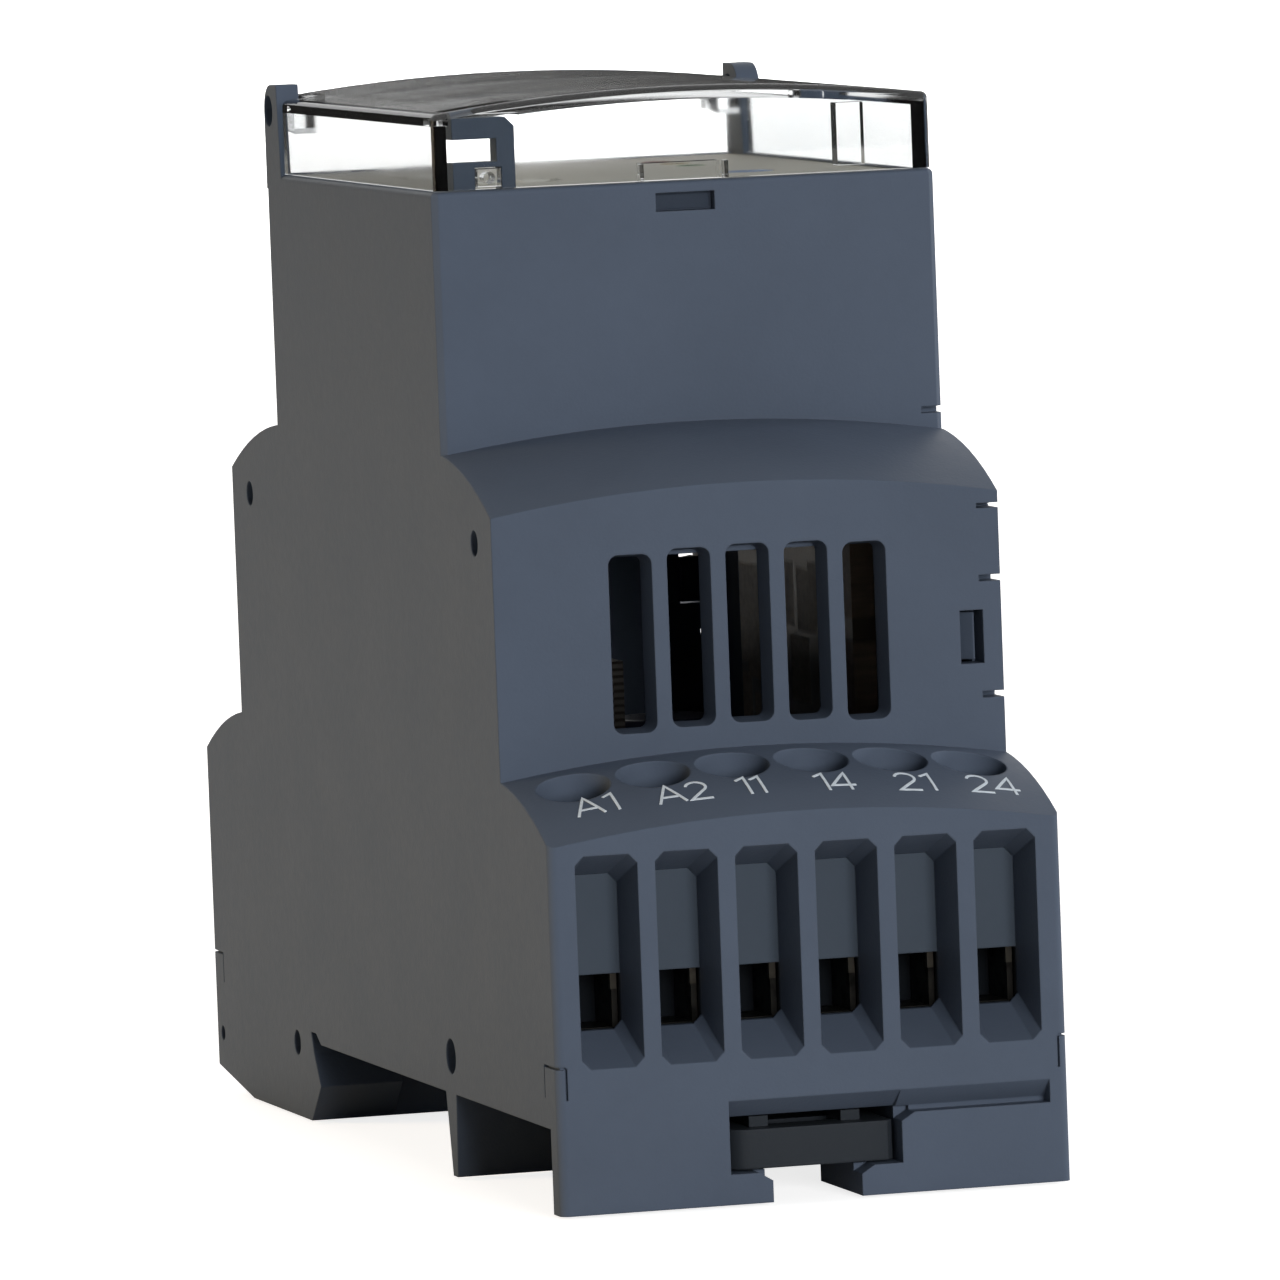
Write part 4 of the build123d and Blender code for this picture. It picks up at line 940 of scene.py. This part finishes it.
@dataclass
class TerminalScrews:
    """Slotted clamp screws with a real thread, made by one node group for all twelve."""

    wardrobe: Wardrobe
    count: int = 12
    pitch: float = 5.45 * MM
    row: float = 37.9 * MM
    foot: float = 16.33 * MM
    top: float = 23.43 * MM
    head_radius: float = 1.9 * MM
    head_height: float = 2.1 * MM
    shank_radius: float = 1.4 * MM
    thread_pitch: float = 0.5 * MM
    thread_depth: float = 0.22 * MM
    slot_width: float = 0.7 * MM
    slot_depth: float = 1.1 * MM
    head_round: float = 0.25 * MM
    slot_turn: float = 0.5
    seed: int = 7
    head_sides: int = 48
    shank_sides: int = 32
    turn_steps: int = 20
    crest_sides: int = 4

    def _recipe(self) -> NodeShape:
        """Write the node group of one screw."""
        number = "NodeSocketFloat"
        shape = NodeShape("turned_screw", {
            "Head Radius": number,
            "Head Height": number,
            "Head Round": number,
            "Slot Width": number,
            "Slot Depth": number,
            "Slot Turn": number,
            "Shank Radius": number,
            "Shank Length": number,
            "Thread Depth": number,
            "Thread Pitch": number,
            "Place": "NodeSocketVector",
            "Material": "NodeSocketMaterial",
        })
        graph, given = shape.graph, shape.given
        radius, height, rounding = given("Head Radius"), given("Head Height"), given("Head Round")
        length, depth, pitch = given("Shank Length"), given("Thread Depth"), given("Thread Pitch")
        drum = graph.add(
            "GeometryNodeMeshCylinder",
            None,
            {"Vertices": self.head_sides, "Radius": radius, "Depth": height - rounding},
            out="Mesh",
        )
        crown = graph.add(
            "GeometryNodeMeshCone",
            None,
            {
                "Vertices": self.head_sides,
                "Radius Top": radius - rounding,
                "Radius Bottom": radius,
                "Depth": rounding,
            },
            out="Mesh",
        )
        head = shape.joined([
            shape.moved(drum, shape.vector(0.0, 0.0, length + (height - rounding) / 2)),
            shape.moved(crown, shape.vector(0.0, 0.0, length + height - rounding)),
        ])
        cutter = shape.moved(
            graph.add(
                "GeometryNodeMeshCube",
                None,
                {"Size": shape.vector(radius * 3, given("Slot Width"), given("Slot Depth") * 2)},
                out="Mesh",
            ),
            shape.vector(0.0, 0.0, length + height),
            shape.vector(0.0, 0.0, given("Slot Turn")),
        )
        cut = graph.node("GeometryNodeMeshBoolean", {"operation": "DIFFERENCE", "solver": "EXACT"})
        graph.feed(cut, "Mesh 1", head)
        graph.feed(cut, "Mesh 2", cutter)
        core = given("Shank Radius") - depth
        shank = graph.add(
            "GeometryNodeMeshCylinder",
            None,
            {"Vertices": self.shank_sides, "Radius": core, "Depth": length},
            out="Mesh",
        )
        path = graph.add(
            "GeometryNodeCurveSpiral",
            None,
            {
                "Resolution": self.turn_steps,
                "Rotations": (length - pitch) / pitch,
                "Start Radius": core,
                "End Radius": core,
                "Height": length - pitch,
            },
        )
        profile = graph.add(
            "GeometryNodeCurvePrimitiveCircle",
            {"mode": "RADIUS"},
            {"Resolution": self.crest_sides, "Radius": depth},
        )
        crest = graph.add(
            "GeometryNodeCurveToMesh",
            None,
            {"Curve": path, "Profile Curve": profile, "Fill Caps": True},
        )
        whole = shape.joined([
            Wire(graph, cut.outputs[0]),
            shape.moved(shank, shape.vector(0.0, 0.0, length / 2)),
            shape.moved(crest, shape.vector(0.0, 0.0, pitch / 2)),
        ])
        shape.close(shape.moved(whole, given("Place")))
        return shape

    def build(self) -> None:
        """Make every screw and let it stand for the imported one."""
        shape = self._recipe()
        draw = random.Random(self.seed)
        half = self.count // 2
        metal = self.wardrobe.materials[Slot.ZINC]
        for index in range(self.count):
            end = End.NEAR if index < half else End.FAR
            x = (index % half - (half - 1) / 2) * self.pitch
            name = f"terminal_screw_{index + 1}"
            piece = shape.run(f"{name}_threaded", {
                "Head Radius": self.head_radius,
                "Head Height": self.head_height,
                "Head Round": self.head_round,
                "Slot Width": self.slot_width,
                "Slot Depth": self.slot_depth,
                "Slot Turn": draw.uniform(-self.slot_turn, self.slot_turn),
                "Shank Radius": self.shank_radius,
                "Shank Length": self.top - self.foot - self.head_height,
                "Thread Depth": self.thread_depth,
                "Thread Pitch": self.thread_pitch,
                "Place": (x, end.value * self.row, self.foot),
                "Material": metal,
            })
            self.wardrobe.settle(piece, name, Slot.ZINC, metal)
            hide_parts(name)


DIAL_PLACES = (("selector_scale", -8.0 * MM, -8.0 * MM), ("delay_scale", -8.0 * MM, 5.0 * MM))


@dataclass
class DialScale:
    """Printed scale around one knob: ticks on an arc, every fifth one longer."""

    name: str
    x: float
    y: float
    wardrobe: Wardrobe
    panel_top: float = 66.05 * MM
    radius: float = 3.15 * MM
    ticks: int = 11
    sweep: float = 270.0
    tick_length: float = 0.55 * MM
    tick_width: float = 0.16 * MM
    ink: float = 0.03 * MM

    @staticmethod
    def recipe() -> NodeShape:
        """Write the node group of a scale's ticks."""
        number = "NodeSocketFloat"
        shape = NodeShape("scale_ticks", {
            "Tick Count": "NodeSocketInt",
            "Start Angle": number,
            "Sweep": number,
            "Radius": number,
            "Tick Length": number,
            "Tick Width": number,
            "Ink Height": number,
            "Place": "NodeSocketVector",
            "Material": "NodeSocketMaterial",
        })
        graph, given = shape.graph, shape.given
        line = graph.add(
            "GeometryNodeMeshLine", {"mode": "OFFSET"}, {"Count": given("Tick Count")}
        )
        index = graph.add("GeometryNodeInputIndex")
        angle = given("Start Angle") + given("Sweep") * index / (given("Tick Count") - 1)
        cosine = graph.add("ShaderNodeMath", {"operation": "COSINE"}, {0: angle})
        sine = graph.add("ShaderNodeMath", {"operation": "SINE"}, {0: angle})
        spot = shape.vector(given("Radius") * cosine, given("Radius") * sine, 0.0)
        points = graph.add("GeometryNodeSetPosition", None, {"Geometry": line, "Position": spot})
        size = shape.vector(given("Tick Length"), given("Tick Width"), given("Ink Height"))
        tick = graph.add("GeometryNodeMeshCube", None, {"Size": size}, out="Mesh")
        fifth = graph.add("ShaderNodeMath", {"operation": "MODULO"}, {0: index, 1: 5.0})
        longer = 1.6 - fifth.above(0.5) * 0.6
        placed = graph.add(
            "GeometryNodeInstanceOnPoints",
            None,
            {
                "Points": points,
                "Instance": tick,
                "Rotation": shape.vector(0.0, 0.0, angle),
                "Scale": shape.vector(longer, 1.0, 1.0),
            },
        )
        shape.close(shape.moved(placed, given("Place")))
        return shape

    def build(self, shape: NodeShape) -> None:
        """Print the scale on the panel."""
        piece = shape.run(self.name, {
            "Tick Count": self.ticks,
            "Start Angle": math.radians(90.0 - self.sweep / 2),
            "Sweep": math.radians(self.sweep),
            "Radius": self.radius,
            "Tick Length": self.tick_length,
            "Tick Width": self.tick_width,
            "Ink Height": self.ink,
            "Place": (self.x, self.y, self.panel_top),
            "Material": self.wardrobe.dark_ink,
        })
        self.wardrobe.settle(piece, "case", Slot.PANEL, self.wardrobe.dark_ink)


@dataclass
class LatchRecess:
    """Floor of the latch slot in the near nose wall: a shallow pan with sloped edges."""

    wardrobe: Wardrobe
    half_width: float = 2.02 * MM
    low: float = 64.17 * MM
    high: float = 65.38 * MM
    face: float = -21.85 * MM
    back: float = -21.38 * MM
    edge: float = 0.16 * MM

    def build(self) -> None:
        """Make the pan."""
        mesh = bmesh.new()
        rings = []
        for inset, y in ((0.0, self.back), (0.0, self.face), (self.edge, self.face + self.edge)):
            x, low, high = self.half_width - inset, self.low + inset, self.high - inset
            corners = ((-x, y, low), (x, y, low), (x, y, high), (-x, y, high))
            rings.append([mesh.verts.new(corner) for corner in corners])
        for first, second in zip(rings, rings[1:]):
            for a in range(4):
                b = (a + 1) % 4
                mesh.faces.new((first[a], first[b], second[b], second[a]))
        mesh.faces.new(rings[0])
        mesh.faces.new(rings[-1])
        bmesh.ops.recalc_face_normals(mesh, faces=mesh.faces[:])
        piece = mesh_piece("latch_recess_floor", mesh)
        # The recess floor takes the darker housing copy: painted shade inside the latch slot.
        self.wardrobe.settle(piece, "case", Slot.HOUSING, self.wardrobe.recess_painted_shade)


@dataclass
class Studio:
    """Camera at the photograph's angle, a pale floor, and soft plain light."""

    lens: float = 362.42
    sensor: float = 36.0
    camera_place: tuple[float, float, float] = (-0.242704, -0.848306, 0.102186)
    right: tuple[float, float, float] = (0.95927572, -0.27999794, -0.03729931)
    up: tuple[float, float, float] = (0.05736042, 0.06379571, 0.99631315)
    back: tuple[float, float, float] = (-0.2765861, -0.95787852, 0.07725847)
    floor_radius: float = 9.0
    world_level: float = 0.08
    flag_distance: float = 1.3
    flag_half_width: float = 1.6
    flag_top: float = 0.30
    floor_glow: float = 0.8
    apron_near: float = -3.0
    apron_far: float = -0.12
    apron_half_width: float = 2.2
    flag_lift: float = 0.0002
    lamp_size: float = 1.0
    aim_height: float = 0.035

    def build(self) -> None:
        """Set up everything around the object."""
        self._camera()
        self._floor()
        self._world()
        self._flag()
        self._lamp("front_softbox", (0.25, -3.00, 0.40), 84.0, (1.0, 1.0, 1.0))
        self._lamp("left_softbox", (-2.80, 0.95, 0.62), 54.5, (1.0, 0.74, 0.42))
        self._lamp("right_softbox", (2.90, 0.20, 0.70), 56.0, (1.0, 1.0, 1.0))
        self._lamp("rear_softbox", (0.50, 3.10, 0.95), 62.0, (1.0, 1.0, 1.0))
        scene = bpy.context.scene
        scene.view_settings.view_transform = "Standard"

    def _camera(self) -> None:
        """Place the camera where the photograph was taken from."""
        data = bpy.data.cameras.new("photo_camera")
        data.lens = self.lens
        data.sensor_width = self.sensor
        data.clip_start = 0.05
        data.clip_end = 60.0
        camera = bpy.data.objects.new("photo_camera", data)
        axes = Matrix((self.right, self.up, self.back)).transposed().to_4x4()
        camera.matrix_world = Matrix.Translation(self.camera_place) @ axes
        bpy.context.scene.collection.objects.link(camera)
        bpy.context.scene.camera = camera

    def _floor(self) -> None:
        """Lay a wide pale floor that keeps the object's shadow."""
        mesh = bmesh.new()
        bmesh.ops.create_circle(mesh, cap_ends=True, radius=self.floor_radius, segments=96)
        for vertex in mesh.verts:
            vertex.co.z = -0.0002
        floor = mesh_piece("floor", mesh)
        material = bpy.data.materials.new("floor_paint")
        material.use_nodes = True
        tree = material.node_tree
        tree.nodes.clear()
        graph = Graph(tree)
        output = graph.node("ShaderNodeOutputMaterial")
        paint = graph.node(
            "ShaderNodeBsdfPrincipled", None, {"Base Color": (0.86, 0.86, 0.86), "Roughness": 0.9}
        )
        seen = self._looked_at(graph, False)
        glow = graph.node(
            "ShaderNodeEmission",
            None,
            {"Color": (1.0, 1.0, 1.0), "Strength": self.floor_glow * seen},
        )
        both = graph.node("ShaderNodeAddShader", None, {0: paint.outputs[0], 1: glow.outputs[0]})
        path = graph.node("ShaderNodeLightPath")
        mirrored = Wire(graph, path.outputs["Glossy Depth"]).above(0.5)
        through = Wire(graph, path.outputs["Is Transmission Ray"])
        shade = graph.node("ShaderNodeBsdfDiffuse", None, {"Color": (0.02, 0.02, 0.02)})
        kept = graph.node(
            "ShaderNodeMixShader",
            None,
            {0: mirrored * through, 1: both.outputs[0], 2: shade.outputs[0]},
        )
        tree.links.new(kept.outputs[0], output.inputs["Surface"])
        floor.data.materials.append(material)

    def _flag(self) -> None:
        """Stand a black flag behind the object and lay one in front, for gloss alone to meet."""
        low, high, wide = -self.flag_lift / 2, self.flag_top, self.flag_half_width
        behind = [
            (side * wide, self.flag_distance, height)
            for side, height in ((-1, low), (1, low), (1, high), (-1, high))
        ]
        near, far, wide = self.apron_near, self.apron_far, self.apron_half_width
        before = [
            (side * wide, y, self.flag_lift)
            for side, y in ((-1, near), (1, near), (1, far), (-1, far))
        ]
        mesh = bmesh.new()
        for corners in (behind, before):
            mesh.faces.new([mesh.verts.new(corner) for corner in corners])
        flag = mesh_piece("black_flag", mesh)
        material = bpy.data.materials.new("flag_cloth")
        material.use_nodes = True
        tree = material.node_tree
        tree.nodes.clear()
        graph = Graph(tree)
        place = graph.add("ShaderNodeTexCoord", None, None, out="Object")
        weave = graph.noise(place, 60.0, 2.0, 0.3)
        cloth = graph.node(
            "ShaderNodeBsdfDiffuse",
            None,
            {"Color": graph.mix(weave, (0.03, 0.03, 0.03), (0.05, 0.05, 0.05))},
        )
        output = graph.node("ShaderNodeOutputMaterial")
        tree.links.new(cloth.outputs[0], output.inputs["Surface"])
        flag.data.materials.append(material)
        flag.visible_camera = False
        flag.visible_diffuse = False
        flag.visible_transmission = False
        flag.visible_shadow = False

    @staticmethod
    def _looked_at(graph: Graph, mirrored: bool) -> Wire:
        """One for what is seen directly or through clear plastic, and else nought.

        Args:
            graph: The tree that the answer is used in.
            mirrored: Whether what gloss shows counts too.

        Returns:
            The share of the background that is shown.
        """
        path = graph.node("ShaderNodeLightPath")
        seen = Wire(graph, path.outputs["Is Camera Ray"])
        glossy = Wire(graph, path.outputs["Is Glossy Ray"])
        through = Wire(graph, path.outputs["Is Transmission Ray"])
        scattered = Wire(graph, path.outputs["Diffuse Depth"]).above(0.5)
        looks = seen.largest(through).largest(glossy) if mirrored else seen.largest(through)
        return looks * (1 - scattered)

    def _world(self) -> None:
        """Light all round, plain white where it is seen directly or in gloss and glass."""
        world = bpy.data.worlds.new("studio_world")
        bpy.context.scene.world = world
        world.use_nodes = True
        tree = world.node_tree
        tree.nodes.clear()
        graph = Graph(tree)
        output = graph.node("ShaderNodeOutputWorld")
        level = self._looked_at(graph, True) * (1.0 - self.world_level) + self.world_level
        sky = graph.node("ShaderNodeBackground", None, {"Color": (1.0, 1.0, 1.0), "Strength": level})
        tree.links.new(sky.outputs[0], output.inputs["Surface"])

    def _lamp(
        self,
        name: str,
        place: tuple[float, float, float],
        power: float,
        colour: Colour,
    ) -> None:
        """Hang one soft lamp that looks at the object.

        Args:
            name: The lamp's name.
            place: Where it hangs.
            power: Its power in watts.
            colour: Its colour.
        """
        data = bpy.data.lights.new(name, "AREA")
        data.shape = "SQUARE"
        data.size = self.lamp_size
        data.energy = power
        data.color = colour
        lamp = bpy.data.objects.new(name, data)
        aim = Vector((0.0, 0.0, self.aim_height)) - Vector(place)
        lamp.matrix_world = (
            Matrix.Translation(place) @ aim.to_track_quat("-Z", "Y").to_matrix().to_4x4()
        )
        lamp.visible_glossy = False
        lamp.visible_transmission = False
        bpy.context.scene.collection.objects.link(lamp)


def main() -> None:
    """Build the studio, dress the relay and add its details."""
    Studio().build()
    wardrobe = Wardrobe()
    wardrobe.dress_nodes()
    TerminalNumbers(wardrobe).build()
    TerminalScrews(wardrobe).build()
    LatchRecess(wardrobe).build()
    ticks = DialScale.recipe()
    for name, x, y in DIAL_PLACES:
        DialScale(name, x, y, wardrobe).build(ticks)


if __name__ == "__main__":
    main()
